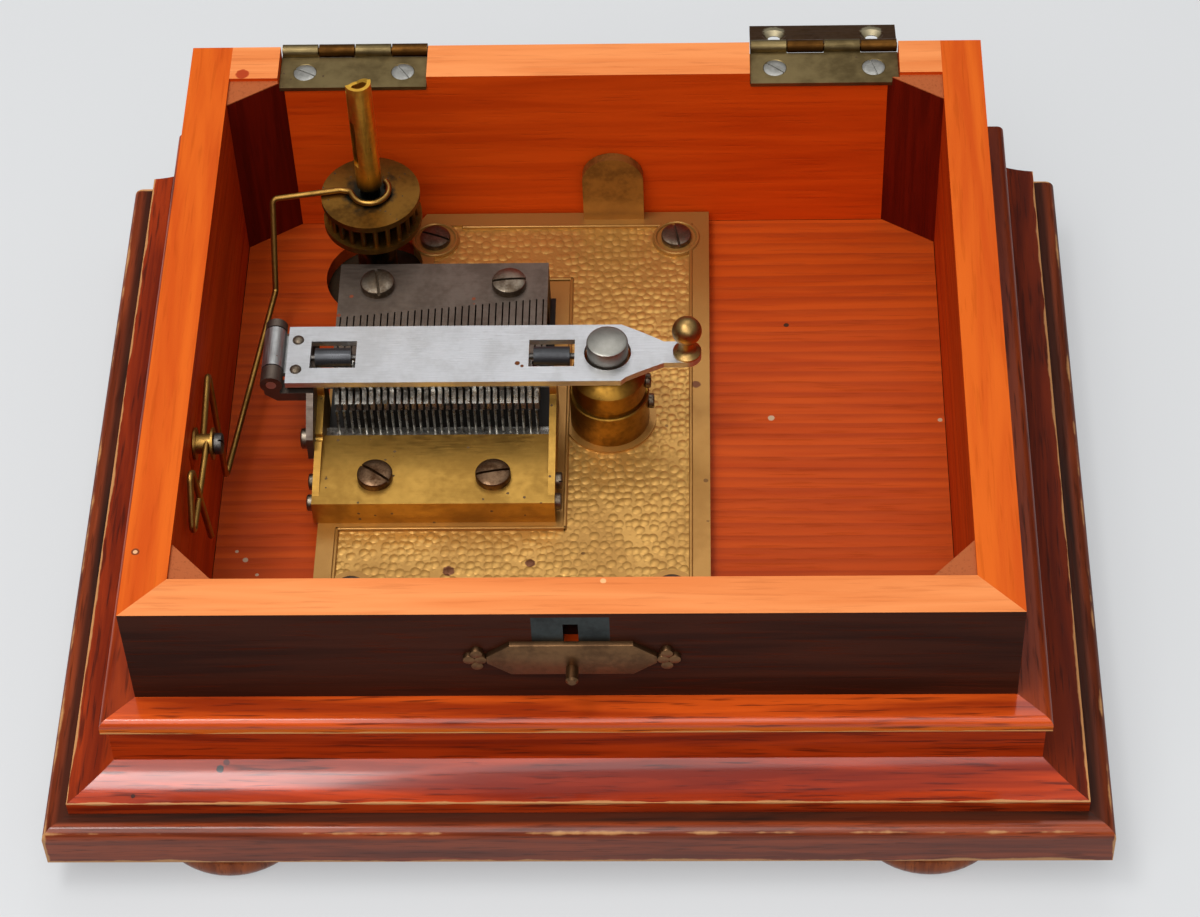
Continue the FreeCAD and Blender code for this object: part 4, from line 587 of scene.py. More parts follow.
@dataclass(frozen=True)
class GiltFinish(MetalFinish):
    """Gold painted casting with a pebbled field and duller smooth borders."""

    pebble: float = 400.0
    lug: Colour = (0.2, 0.075, 0.008)
    border: Colour = (0.31, 0.142, 0.03)
    pit: Colour = (0.2, 0.085, 0.014)

    def make(self) -> bpy.types.Material:
        """Pebbles where the field is sunk, dirt between them."""
        material, tree, shader = self.start()
        vector = tree.place()
        z = tree.xyz(vector)[2]
        sunk = tree.step(z, PLATE_TOP - 0.6 * MM, PLATE_TOP - 0.3 * MM, 1.0, 0.0)
        flat = tree.vector("MULTIPLY", vector, (1.0, 1.0, 0.0))
        cells = tree.add("ShaderNodeTexVoronoi", {"Vector": flat, "Scale": self.pebble, "Randomness": 0.6})
        reach = tree.math("DIVIDE", cells.outputs["Distance"], 0.62)
        dome = tree.math("SUBTRACT", 1.0, tree.math("MULTIPLY", reach, reach), clamp=True)
        pits = tree.math("MULTIPLY", tree.math("SUBTRACT", 1.0, dome), sunk)
        colour, rough = self.tarnish(tree, vector)
        colour = tree.mix(tree.math("MULTIPLY", pits, 0.26), colour, self.pit)
        raised = tree.step(z, PLATE_TOP + 2.0 * MM, PLATE_TOP + 12.0 * MM, 0.0, 0.75)
        colour = tree.mix(raised, colour, self.lug)
        blotches = tree.effect("blotches", vector=vector, scale=130.0).outputs[0]
        shaded = tuple(0.3 * part for part in self.lug)
        colour = tree.mix(tree.math("MULTIPLY", raised, blotches), colour, shaded)
        smooth = tree.math("MULTIPLY_ADD", sunk, -0.75, 0.75)
        bordered = tree.math("MULTIPLY", smooth, tree.math("SUBTRACT", 1.0, raised))
        colour = tree.mix(bordered, colour, self.border)
        # Painted shade, with old oil, under the star wheels and the comb.
        colour = tree.mix(self.shade_and_oil_under_stars(tree, vector), colour, OIL_AND_SHADE)
        spots = tree.effect("specks", vector=vector, scale=170.0, share=0.1, size=0.24).outputs[0]
        colour = tree.mix(tree.math("MULTIPLY", spots, 0.7), colour, self.fleck)
        colour = self.marked(tree, vector, colour)
        grit = tree.math("MULTIPLY", tree.noise(vector, 1400.0, 2.0), 0.12)
        height = tree.math("MULTIPLY_ADD", dome, sunk, grit)
        bump = tree.add("ShaderNodeBump", {"Height": height, "Strength": 0.5, "Distance": 0.0005})
        tree.feed_all(shader, {"Base Color": colour, "Roughness": rough, "Metallic": self.metallic,
                               "Normal": bump.outputs[0]})
        return material

    def shade_and_oil_under_stars(self, tree: Tree, vector: Socket) -> Socket:
        """Black on the casting under the star wheels and the comb's tips: old oil, and painted shade where the
        wheels and the comb cover it.
        """
        (left, front, _), (right, _, _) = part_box("dampers")
        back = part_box("comb")[1].y
        x, y, _ = tree.xyz(vector)
        masks = [tree.math("GREATER_THAN", x, left), tree.math("LESS_THAN", x, right),
                 tree.math("GREATER_THAN", y, front), tree.math("LESS_THAN", y, back)]
        return reduce(lambda one, other: tree.math("MULTIPLY", one, other), masks)


def box_of(node: str) -> dict[str, Triple]:
    """A node's corners, as the finish of a board takes them."""
    low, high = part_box(node)
    return {"low": tuple(low), "high": tuple(high)}


def islands(node: str) -> list[tuple[Vector, Vector]]:
    """Corners of each separate solid of a node.

    Args:
        node: The node's name.

    Returns:
        Lowest and highest corner of each solid, from left to right and front to back.
    """
    bm = bmesh.new()
    bm.from_mesh(NODES[node].data)
    bmesh.ops.remove_doubles(bm, verts=bm.verts[:], dist=1e-6)
    left, found = set(bm.verts), []
    while left:
        reach, seen = [left.pop()], []
        while reach:
            vert = reach.pop()
            seen.append(vert.co.copy())
            for edge in vert.link_edges:
                other = edge.other_vert(vert)
                if other in left:
                    left.remove(other)
                    reach.append(other)
        low = Vector(map(min, *seen))
        high = Vector(map(max, *seen))
        found.append((low, high))
    bm.free()
    return sorted(found, key=lambda pair: (round(pair[0].x, 4), round(pair[0].y, 4)))


MAHOGANY = {"light": (0.56, 0.052, 0.004), "dark": (0.22, 0.014, 0.001), "roughness": 0.32, "coat": 0.7,
            "specular": 0.08, "pores": 0.75, "scale": 180.0}
WALL_WOOD = {"pores": 0.15, "roughness": 0.5, "coat": 0.0, "specular": 0.08, "scale": 160.0}
BASE_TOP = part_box("base_board")[1].z
PLINTH_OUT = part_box("plinth_moulding")[1].x - WALL_HIGH.x
CAP_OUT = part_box("cap_moulding")[1].x - WALL_HIGH.x
FLOOR_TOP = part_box("floor_board")[1].z
DUST, STAIN = (0.46, 0.31, 0.19), (0.05, 0.018, 0.008)
SINK_INSET, SINK_RISE, SINK_SLOPE = 4.2 * MM, 0.4 * MM, 0.31


def mark(x: float, y: float, z: float, radius: float, colour: Colour) -> Mark:
    """A mark by its place in millimetres."""
    return Mark((x * MM, y * MM, z * MM), radius * MM, colour)


def lid_sinks() -> list[Triple]:
    """Middles of the two countersinks in the right lid leaf, in millimetres."""
    low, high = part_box("lid_leaf_right")
    heads = [(pair[0].x + pair[1].x) / 2 for pair in islands("hinge_screws")]
    lift = SINK_SLOPE * SINK_INSET + SINK_RISE
    return [(x / MM, (high.y - SINK_INSET) / MM, (low.z + lift) / MM) for x in heads if x > 0]


# On the base, the plinth and the cap, the darkening of the side runs is painted shade.
BASE_WOOD = WoodFinish(
    "base_wood", light=(0.32, 0.055, 0.014), dark=(0.14, 0.021, 0.005), **box_of("base_board"), edge=0.0015,
    worn=(0.6, 0.29, 0.11), roughness=0.42, coat=0.5, pores=0.6, specular=0.08,
    # The near-black band on the base top under the plinth lip is painted shadow in that crease, with some
    # dirt.
    band=(PLINTH_OUT + 0.8 * MM, BASE_TOP), band_width=3.2 * MM, band_colour=(0.018, 0.007, 0.004),
    side_shade=(0.1, 0.35), mitred=True)
FEET_WOOD = WoodFinish(
    "feet_wood", light=(0.36, 0.085, 0.018), dark=(0.2, 0.04, 0.009), run=Run.ALONG_Z, specular=0.1)
PLINTH_WOOD = WoodFinish(
    "plinth_wood", **MAHOGANY, lines=((PLINTH_OUT, BASE_TOP + 4.5 * MM),), edge=0.0009,
    worn=(0.55, 0.25, 0.09), side_shade=(0.4, 0.65), mitred=True,
    marks=(mark(-94.8, -109.5, 32.5, 1.0, (0.12, 0.01, 0.005)),
           mark(-96.5, -111.1, 31.8, 1.2, (0.012, 0.006, 0.004)),
           mark(-119.7, -118.5, 29.8, 0.7, (0.05, 0.012, 0.005))))
CAP_WOOD = WoodFinish(
    "cap_wood", **{**MAHOGANY, "light": (0.74, 0.095, 0.008), "dark": (0.34, 0.03, 0.003)},
    lines=((CAP_OUT, CAP_TOP - 4.3 * MM),), edge=0.0009, worn=(0.75, 0.36, 0.12),
    band=(CAP_OUT, CAP_TOP - 3.4 * MM), band_colour=(0.8, 0.15, 0.005), band_width=1.7 * MM,
    side_shade=(0.4, 0.6), mitred=True)
LONG_WALLS = WallFinish(
    "long_walls", **WALL_WOOD, light=(0.72, 0.075, 0.004), dark=(0.56, 0.048, 0.002),
    marks=(mark(8.6, -90.5, RIM / MM, 0.9, (0.92, 0.44, 0.19)),
           mark(-102.2, 100.8, RIM / MM, 2.2, (0.42, 0.05, 0.012))))
SIDE_WALLS = WallFinish(
    "side_walls", **WALL_WOOD, run=Run.ALONG_Y, rim_light=(0.69, 0.12, 0.009),
    rim_dark=(0.57, 0.075, 0.005), light=(0.52, 0.046, 0.002), dark=(0.38, 0.027, 0.001),
    marks=(mark(-115.2, -80.1, RIM / MM, 1.3, (0.2, 0.045, 0.012)),
           mark(-115.2, -80.1, RIM / MM, 0.7, (0.75, 0.4, 0.2))))
CORNER_WOOD = WoodFinish(
    "corner_wood", light=(0.14, 0.006, 0.001), dark=(0.08, 0.003, 0.0006), run=Run.ALONG_Z, pores=0.2,
    roughness=0.5, coat=0.0, specular=0.08, top=RIM - 1.5 * MM)
FLOOR_MARKS = ((54.7, 18.1, 1.1, DUST), (59.8, 54.9, 0.9, STAIN), (104.4, 16.9, 0.8, DUST),
               (-96.9, -34.1, 0.9, DUST), (-93.1, -39.5, 0.6, DUST), (-99.6, -31.0, 0.6, DUST))
FLOOR_WOOD = FloorFinish(
    "floor_wood", light=(0.5, 0.068, 0.006), dark=(0.41, 0.048, 0.004), scale=200.0, pores=0.2,
    roughness=0.45, coat=0.0, specular=0.1, dust=0.012,
    marks=tuple(mark(x, y, FLOOR_TOP / MM, radius, colour) for x, y, radius, colour in FLOOR_MARKS))

RUST = (0.14, 0.045, 0.014)
BED_GILT = GiltFinish(
    "bed_gilt", clean=(0.62, 0.34, 0.083), dull=(0.42, 0.21, 0.046), metallic=0.6, roughness=0.34,
    dull_roughness=0.5, patch=55.0, fleck=(0.11, 0.045, 0.012),
    marks=(mark(32.6, 27.4, 29.5, 1.5, RUST), mark(-14.7, -38.8, 29.0, 1.6, RUST),
           mark(-37.9, -41.5, 29.0, 2.0, RUST), mark(-9.0, -47.0, 29.0, 1.4, RUST)))
BRASS = MetalFinish(
    "brass", clean=(0.52, 0.29, 0.062), dull=(0.3, 0.155, 0.03), roughness=0.3, flecks=0.16,
    fleck=(0.13, 0.07, 0.022), run=Run.ALONG_X, brushing=0.3, patch=60.0)
POST_BRASS = MetalFinish(
    "post_brass", clean=(0.34, 0.17, 0.026), dull=(0.14, 0.065, 0.01), roughness=0.26, share=0.75)
KNOB_BRASS = MetalFinish(
    "knob_brass", clean=(0.44, 0.27, 0.095), dull=(0.22, 0.125, 0.04), roughness=0.22, share=0.6)
HINGE_BRASS = MetalFinish(
    "hinge_brass", clean=(0.22, 0.16, 0.07), dull=(0.1, 0.068, 0.028), roughness=0.34, share=0.9,
    patch=45.0, flecks=0.08, fleck=(0.09, 0.05, 0.02), run=Run.ALONG_X, brushing=0.5)
SINK = (0.5, 0.42, 0.26)
LID_BRASS = MetalFinish(
    "lid_brass", clean=(0.12, 0.05, 0.01), dull=(0.055, 0.022, 0.005), roughness=0.34, share=0.8,
    patch=70.0, run=Run.ALONG_X, brushing=0.4,
    marks=tuple(mark(x, y, z, 3.7, SINK) for x, y, z in lid_sinks()))
OLD_BRASS = MetalFinish(
    "old_brass", clean=(0.2, 0.095, 0.017), dull=(0.075, 0.034, 0.007), roughness=0.34, share=0.8,
    flecks=0.3, fleck=(0.05, 0.03, 0.012), fleck_scale=620.0, grease=1.0)
WIRE_BRASS = MetalFinish("wire_brass", clean=(0.38, 0.21, 0.05), dull=(0.15, 0.075, 0.016), roughness=0.3)
TUBE_BRASS = MetalFinish(
    "tube_brass", clean=(0.95, 0.55, 0.075), dull=(0.5, 0.26, 0.032), roughness=0.26, run=Run.ALONG_Z,
    brushing=0.4, grease=1.0)
CATCH_BRASS = MetalFinish("catch_brass", clean=(0.19, 0.1, 0.045), dull=(0.06, 0.032, 0.018), roughness=0.34)
SPINDLE_STEEL = MetalFinish(
    "spindle_steel", clean=(0.35, 0.335, 0.295), dull=(0.24, 0.225, 0.19), share=0.5, roughness=0.28,
    dull_roughness=0.4, brushing=0.6)
BRIGHT_STEEL = MetalFinish(
    "bright_steel", clean=(0.6, 0.6, 0.61), dull=(0.46, 0.455, 0.445), share=0.5, roughness=0.3,
    dull_roughness=0.4, run=Run.ALONG_X, brushing=1.0, flecks=0.012,
    marks=(mark(-18.6, 11.3, 58.1, 0.9, RUST), mark(-17.2, 10.2, 58.1, 0.6, RUST)))
GREY_STEEL = MetalFinish(
    "grey_steel", clean=(0.46, 0.46, 0.45), dull=(0.27, 0.265, 0.255), roughness=0.32, flecks=0.04,
    run=Run.ALONG_Y, brushing=0.5)
STAR_STEEL = MetalFinish(
    "star_steel", clean=(0.6, 0.58, 0.53), dull=(0.075, 0.066, 0.05), share=0.95, patch=320.0, roughness=0.2)
COMB_STEEL = MetalFinish(
    "comb_steel", clean=(0.16, 0.125, 0.1), dull=(0.09, 0.064, 0.048), roughness=0.42, dull_roughness=0.55,
    flecks=0.05, fleck=(0.2, 0.045, 0.014), fleck_scale=300.0, run=Run.ALONG_X, brushing=0.5)
SCREW_STEEL = MetalFinish(
    "screw_steel", clean=(0.22, 0.18, 0.135), dull=(0.085, 0.058, 0.036), roughness=0.3, patch=200.0,
    share=0.9)
PALE_SCREW = MetalFinish(
    "pale_screw", clean=(0.36, 0.35, 0.32), dull=(0.2, 0.19, 0.17), roughness=0.32, patch=200.0)
RUSTY_SCREW = MetalFinish(
    "rusty_screw", clean=(0.17, 0.1, 0.055), dull=(0.06, 0.026, 0.011), roughness=0.32, patch=260.0,
    share=0.95)
DARK_STEEL = MetalFinish("dark_steel", clean=(0.12, 0.11, 0.1), dull=(0.045, 0.04, 0.035), roughness=0.36)
CATCH_STEEL = MetalFinish("catch_steel", clean=(0.05, 0.06, 0.06), dull=(0.02, 0.022, 0.022), roughness=0.36)
# Near-black brass for the comb block and the motor plate, which sit under other parts: painted shade, with old
# oil.
OILY_SHADED_BRASS = MetalFinish(
    "oily_shaded_brass", clean=(0.05, 0.03, 0.012), dull=(0.02, 0.012, 0.006), roughness=0.5, dull_roughness=0.7,
    metallic=0.7)
BLACK_ROLLER = MetalFinish(
    "black_roller", clean=(0.05, 0.051, 0.055), dull=(0.025, 0.025, 0.026), metallic=0.6, roughness=0.24)

NODE_FINISHES: dict[Finish, tuple[str, ...]] = {
    BASE_WOOD: ("base_board",), PLINTH_WOOD: ("plinth_moulding",), CAP_WOOD: ("cap_moulding",),
    FEET_WOOD: ("bun_feet",), LONG_WALLS: ("front_wall", "back_wall"),
    SIDE_WALLS: ("left_wall", "right_wall"),
    CORNER_WOOD: ("corner_blocks",), FLOOR_WOOD: ("floor_board",), BED_GILT: ("bedplate",),
    HINGE_BRASS: ("hinge_leaf_left", "hinge_leaf_right"),
    LID_BRASS: ("lid_leaf_left", "lid_leaf_right", "hinge_pins"),
    CATCH_BRASS: ("catch_plate", "catch_button"), POST_BRASS: ("centre_post",), KNOB_BRASS: ("bar_knob",),
    BRASS: ("gantry_block", "gantry_cheek_left", "gantry_cheek_right", "motor_bottom_plate",
            "spring_barrel", "train_wheel", "governor_fly"),
    OILY_SHADED_BRASS: ("motor_top_plate", "comb_block"),
    OLD_BRASS: ("lantern_sprocket", "sprocket_bars"), TUBE_BRASS: ("winding_tube",),
    WIRE_BRASS: ("brake_wire",),
    BRIGHT_STEEL: ("pressure_bar", "star_axle", "bar_hinge_pin"), SPINDLE_STEEL: ("post_spindle",),
    GREY_STEEL: ("bar_hinge_leaf", "bar_rivets"),
    STAR_STEEL: ("star_wheels", "dampers"), COMB_STEEL: ("comb", "bar_bracket"),
    CATCH_STEEL: ("catch_box", "catch_spring"),
    DARK_STEEL: ("roller_pins", "motor_pillars", "mainspring", "ratchet_wheel", "click"),
    SCREW_STEEL: ("bedplate_screws", "comb_screws", "cheek_screws", "post_screws", "bracket_screw",
                  "wire_pivot_screw"),
    RUSTY_SCREW: ("gantry_screws",),
    PALE_SCREW: ("hinge_screws",), BLACK_ROLLER: ("roller_outer", "roller_inner"),
}


def dress_nodes() -> None:
    """Give every carried-over node its finish."""
    for finish, names in NODE_FINISHES.items():
        for name in names:
            materials = NODES[name].data.materials
            materials.clear()
            materials.append(finish.material())
            log.info("%s: %s", name, finish.name)
    missing = set(NODES) - {name for names in NODE_FINISHES.values() for name in names}
    if missing:
        raise RuntimeError(f"nodes without a finish: {sorted(missing)}")


def turn(bm: bmesh.types.BMesh, profile: list[tuple[float, float]], steps: int = 40,
         foot: Triple = (0.0, 0.0, 0.0)) -> list[bmesh.types.BMVert]:
    """Turn a profile of radius and height about an upright axis.

    Args:
        bm: The mesh to add to.
        profile: Points from the foot to the top.
        steps: How many facets round.
        foot: Where the axis stands.

    Returns:
        The new vertices.
    """
    before = set(bm.verts)
    points = [bm.verts.new((radius, 0.0, height)) for radius, height in profile]
    edges = [bm.edges.new(pair) for pair in zip(points, points[1:])]
    bmesh.ops.spin(bm, geom=points + edges, cent=(0, 0, 0), axis=(0, 0, 1), angle=math.tau, steps=steps,
                   use_merge=True, use_duplicate=False)
    made = [vert for vert in bm.verts if vert not in before]
    bmesh.ops.remove_doubles(bm, verts=made, dist=1e-7)
    made = [vert for vert in bm.verts if vert not in before]
    faces = [face for face in bm.faces if face.verts[0] in set(made)]
    bmesh.ops.recalc_face_normals(bm, faces=faces)
    bmesh.ops.translate(bm, verts=made, vec=foot)
    return made


def finish_mesh(name: str, bm: bmesh.types.BMesh, finish: Finish, body: str,
                replaced: tuple[str, ...] = ()) -> bpy.types.Object:
    """Turn a bmesh into a piece that rides on its body.

    Args:
        name: The piece's name.
        bm: Its mesh, in the row's frame.
        finish: Its finish.
        body: The body it rides on.
        replaced: Nodes it stands for.

    Returns:
        The piece.
    """
    for edge in bm.edges:
        edge.smooth = len(edge.link_faces) == 2 and edge.calc_face_angle(0.0) < SMOOTH_BELOW
    for face in bm.faces:
        face.smooth = True
    mesh = bpy.data.meshes.new(name)
    bm.to_mesh(mesh)
    bm.free()
    mesh.materials.append(finish.material())
    piece = bpy.data.objects.new(name, mesh)
    bpy.context.scene.collection.objects.link(piece)
    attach(piece, body)
    if replaced:
        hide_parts(*replaced)
    log.info("%s: %d faces on %s", name, len(mesh.polygons), body)
    return piece


class Facing(Enum):
    """Which way a screw head points."""

    UP = (0.0, 0.0, 1.0)
    LEFT = (-1.0, 0.0, 0.0)
    RIGHT = (1.0, 0.0, 0.0)


@dataclass
class ScrewSet:
    """Slotted screw heads that stand for the plain screws of one node."""

    node: str
    height: float
    finish: Finish
    slot: str
    body: str = "case"
    facing: Facing = Facing.UP
    slot_share: float = 0.16
    dome: float = 0.14
    waist_share: float = 0.45
    edge_share: float = 0.1
    angles: tuple[float, ...] = (0.4, -0.7, 1.2, 0.1)
    cheek: float = 20.0 * MM

    def head(self, bm: bmesh.types.BMesh, radius: float, angle: float, place: Matrix) -> None:
        """One head: a disc with two halves on it, either side of the slot.

        Args:
            bm: The mesh to add to.
            radius: The head's radius.
            angle: How the slot is turned.
            place: Where the head's seat goes.
        """
        waist, half_slot, crown = self.height * self.waist_share, radius * self.slot_share / 2, self.height
        made = list(turn(bm, [(0.0, 0.0), (radius, 0.0), (radius, waist), (0.0, waist)]))
        edge, overlap, shoulder = radius * self.edge_share, waist - 0.02 * crown, crown * (1 - self.dome)
        profile = [(0.0, overlap), (radius, overlap), (radius, shoulder - edge),
                   (radius - edge * 0.35, shoulder - edge * 0.3),
                   (radius - edge * 1.3, crown * (1 - self.dome * 0.75)),
                   (radius * 0.5, crown * (1 - self.dome * 0.2)), (0.0, crown)]
        for side in (-1.0, 1.0):
            half = turn(bm, profile)
            geom = half + [item for item in (*bm.edges, *bm.faces) if item.verts[0] in half]
            cut = bmesh.ops.bisect_plane(bm, geom=geom, plane_co=(side * half_slot, 0, 0),
                                         plane_no=(side, 0, 0), clear_inner=True)
            rim = [item for item in cut["geom_cut"] if isinstance(item, bmesh.types.BMEdge)]
            bmesh.ops.edgeloop_fill(bm, edges=rim)
            made += [vert for vert in half if vert.is_valid]
            made += [item for item in cut["geom_cut"] if isinstance(item, bmesh.types.BMVert)]
        made = list({vert for vert in made if vert.is_valid})
        bmesh.ops.transform(bm, matrix=place @ Matrix.Rotation(angle, 4, "Z"), verts=made)

    def build(self) -> bpy.types.Object:
        """A head on each of the node's solids.

        Returns:
            The piece that stands for the node.
        """
        bm = bmesh.new()
        for index, (low, high) in enumerate(islands(self.node)):
            centre = (low + high) / 2
            facing = self.facing
            if self.node == "cheek_screws":
                facing = Facing.LEFT if centre.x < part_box("gantry_block")[0].x + self.cheek else Facing.RIGHT
            direction = Vector(facing.value)
            axis, across = (2, 0) if facing is Facing.UP else (0, 2)
            radius = (high - low)[across] / 2
            reach = high if direction.x + direction.z > 0 else low
            seat = centre.copy()
            seat[axis] = reach[axis] - direction[axis] * self.height
            place = Matrix.Translation(seat) @ direction.to_track_quat("Z", "Y").to_matrix().to_4x4()
            self.head(bm, radius, self.angles[index % len(self.angles)], place)
        return finish_mesh(self.node + "_heads", bm, self.finish, self.body, (self.node,))


SCREWS = (
    ScrewSet("bedplate_screws", 2.2 * MM, SCREW_STEEL, "dark_steel", angles=(1.5, 1.2, 1.3, 0.2)),
    ScrewSet("comb_screws", 2.8 * MM, SCREW_STEEL, "dark_steel", angles=(0.15, 1.65)),
    ScrewSet("gantry_screws", 2.8 * MM, RUSTY_SCREW, "dark_steel", angles=(0.95, 1.75)),
    ScrewSet("cheek_screws", 2.0 * MM, SCREW_STEEL, "dark_steel", angles=(0.3, 1.0, 1.9, 0.8)),
    ScrewSet("post_screws", 1.6 * MM, SCREW_STEEL, "dark_steel", facing=Facing.RIGHT, angles=(0.5, 1.4)),
    ScrewSet("bracket_screw", 2.2 * MM, SCREW_STEEL, "dark_steel", facing=Facing.LEFT),
    ScrewSet("wire_pivot_screw", 2.4 * MM, DARK_STEEL, "dark_steel", facing=Facing.RIGHT),
    ScrewSet("hinge_screws", 0.5 * MM, PALE_SCREW, "bright_steel", dome=0.02, angles=(1.1, 0.6, 0.9, 0.3)),
)


@dataclass
class TurnedFeet:
    """Bun feet with a smooth round edge."""

    node: str = "bun_feet"
    inset_share: float = 0.42
    half_share: float = 0.47
    round_steps: int = 10
    facets: int = 56

    def build(self) -> bpy.types.Object:
        """Turn one foot at each of the node's solids.

        Returns:
            The piece that stands for the node.
        """
        bm = bmesh.new()
        for low, high in islands(self.node):
            radius, height = (high.x - low.x) / 2, high.z
            neck, half = radius - self.inset_share * height, self.half_share * height
            angles = [math.pi * step / self.round_steps for step in range(self.round_steps + 1)]
            bulge = [(neck + (radius - neck) * math.sin(angle), half - half * math.cos(angle))
                     for angle in angles]
            profile = [(0.0, 0.0), *bulge, (neck, height), (0.0, height)]
            middle = (low + high) / 2
            turn(bm, profile, self.facets, (middle.x, middle.y, 0.0))
        return finish_mesh("turned_feet", bm, FEET_WOOD, "case", (self.node,))


@dataclass
class BallKnob:
    """Brass ball on its neck and flange, at the end of the pressure bar."""

    ball: float = 4.3 * MM
    flange: float = 4.1 * MM
    neck: float = 2.2 * MM
    round_steps: int = 14
    facets: int = 48

    def build(self) -> bpy.types.Object:
        """Turn the knob.

        Returns:
            The piece that stands for the plain knob.
        """
        low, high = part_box("bar_knob")
        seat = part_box("pressure_bar")[1].z
        centre = high.z - seat - self.ball
        start = math.asin(self.neck / self.ball)
        angles = [start + (math.pi - start) * step / self.round_steps for step in range(self.round_steps + 1)]
        profile = [(0.0, 0.0), (self.flange, 0.0), (self.flange, 0.6 * MM),
                   (self.flange - 0.3 * MM, 0.9 * MM), (self.neck + 0.7 * MM, 1.5 * MM),
                   (self.neck + 0.1 * MM, 2.4 * MM), (self.neck, 3.0 * MM)]
        profile += [(self.ball * math.sin(angle), centre - self.ball * math.cos(angle)) for angle in angles]
        bm = bmesh.new()
        turn(bm, profile, self.facets, ((low.x + high.x) / 2, (low.y + high.y) / 2, seat))
        return finish_mesh("ball_knob", bm, KNOB_BRASS, "pressure_bar", ("bar_knob",))


@dataclass
class CentrePost:
    """Turned post with its waist groove, and the steel spindle that centres the disc."""

    edge: float = 0.35 * MM
    upper: float = 10.8 * MM
    waist: float = 10.2 * MM
    drum: float = 11.8 * MM
    groove: float = 12.9 * MM
    shoulder: float = 7.9 * MM
    crown: float = 7.4 * MM
    facets: int = 64

    def build(self) -> list[bpy.types.Object]:
        """Turn the post and the spindle.

        Returns:
            The two pieces that stand for the plain ones.
        """
        low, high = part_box("centre_post")
        base = Vector(((low.x + high.x) / 2, (low.y + high.y) / 2, low.z))
        wide, top, edge = (high.x - low.x) / 2, high.z - low.z, self.edge
        upper, waist, drum, groove = self.upper, self.waist, self.drum, self.groove
        profile = [(0.0, 0.0), (wide, 0.0), (wide, drum - edge), (wide - edge, drum), (waist, drum),
                   (waist, groove), (upper - edge, groove), (upper, groove + edge), (upper, top - 3.4 * MM),
                   (upper - 0.4 * MM, top - 2.9 * MM), (self.shoulder, top - 0.3 * MM), (self.crown, top),
                   (0.0, top)]
        bm = bmesh.new()
        turn(bm, profile, self.facets, base)
        post = finish_mesh("turned_post", bm, POST_BRASS, "case", ("centre_post",))
        low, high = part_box("post_spindle")
        radius, tall = (high.x - low.x) / 2, high.z - low.z
        profile = [(0.0, 0.0), (radius, 0.0), (radius, tall - 0.7 * MM),
                   (radius - 0.2 * MM, tall - 0.25 * MM), (radius - 0.7 * MM, tall), (0.0, tall)]
        bm = bmesh.new()
        turn(bm, profile, self.facets, (base.x, base.y, low.z))
        spindle = finish_mesh("turned_spindle", bm, SPINDLE_STEEL, "case", ("post_spindle",))
        return [post, spindle]


@dataclass
class CatchPlate:
    """Ornamental plate: a long octagon with four overlapping round lobes at each end."""

    lobe: float = 1.7 * MM
    bevel: float = 0.35 * MM
    reach: float = 3.7
    lobes: tuple[tuple[float, float], ...] = ((1.5, 1.5), (1.5, -1.5), (0.9, 0.0), (2.7, 0.0))
    facets: int = 20

    def build(self) -> bpy.types.Object:
        """Raise the octagon and the lobes to one thickness and soften their front edges.

        Returns:
            The piece that stands for the plain plate.
        """
        low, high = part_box("catch_plate")
        middle, thick, tall = (low + high) / 2, high.y - low.y, (high.z - low.z) / 2
        half = high.x - self.reach * self.lobe
        waist, slope = self.lobe * 0.8, tall
        corners = [(-half, waist), (-half, -waist), (slope - half, -tall), (half - slope, -tall),
                   (half, -waist), (half, waist), (half - slope, tall), (slope - half, tall)]
        bm = bmesh.new()
        bm.faces.new([bm.verts.new((x, 0.0, z)) for x, z in corners])
        for side in (-1.0, 1.0):
            for along, up in self.lobes:
                made = bmesh.ops.create_circle(bm, cap_ends=True, segments=self.facets,
                                               radius=self.lobe)["verts"]
                place = Matrix.Translation((side * (half + along * self.lobe), 0.0, up * self.lobe))
                bmesh.ops.transform(bm, matrix=place @ Matrix.Rotation(math.pi / 2, 4, "X"), verts=made)
        grown = bmesh.ops.extrude_face_region(bm, geom=bm.faces[:])["geom"]
        front = [item for item in grown if isinstance(item, bmesh.types.BMVert)]
        bmesh.ops.translate(bm, verts=front, vec=(0.0, -thick, 0.0))
        bmesh.ops.recalc_face_normals(bm, faces=bm.faces[:])
        ahead = set(front)
        outer = [edge for edge in bm.edges if all(vert in ahead for vert in edge.verts)
                 and edge.calc_face_angle(0.0) > 1.0]
        bmesh.ops.bevel(bm, geom=outer, offset=self.bevel, segments=2, profile=0.5, material=-1,
                        affect="EDGES")
        bmesh.ops.translate(bm, verts=bm.verts[:], vec=(middle.x, high.y, middle.z))
        return finish_mesh("cut_catch_plate", bm, CATCH_BRASS, "case", ("catch_plate",))


@dataclass
class DomedRivets:
    """Round rivet heads on the pressure bar."""

    height: float = 0.9 * MM
    round_steps: int = 8
    facets: int = 28

    def build(self) -> bpy.types.Object:
        """Turn one dome at each rivet.

        Returns:
            The piece that stands for the plain rivets.
        """
        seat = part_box("pressure_bar")[1].z
        bm = bmesh.new()
        for low, high in islands("bar_rivets"):
            middle, radius = (low + high) / 2, (high.x - low.x) / 2
            angles = [math.pi / 2 * step / self.round_steps for step in range(self.round_steps + 1)]
            dome = [(radius * math.cos(angle), self.height * math.sin(angle)) for angle in angles]
            turn(bm, [(0.0, 0.0), *dome], self.facets, (middle.x, middle.y, seat))
        return finish_mesh("domed_rivets", bm, SCREW_STEEL, "pressure_bar", ("bar_rivets",))


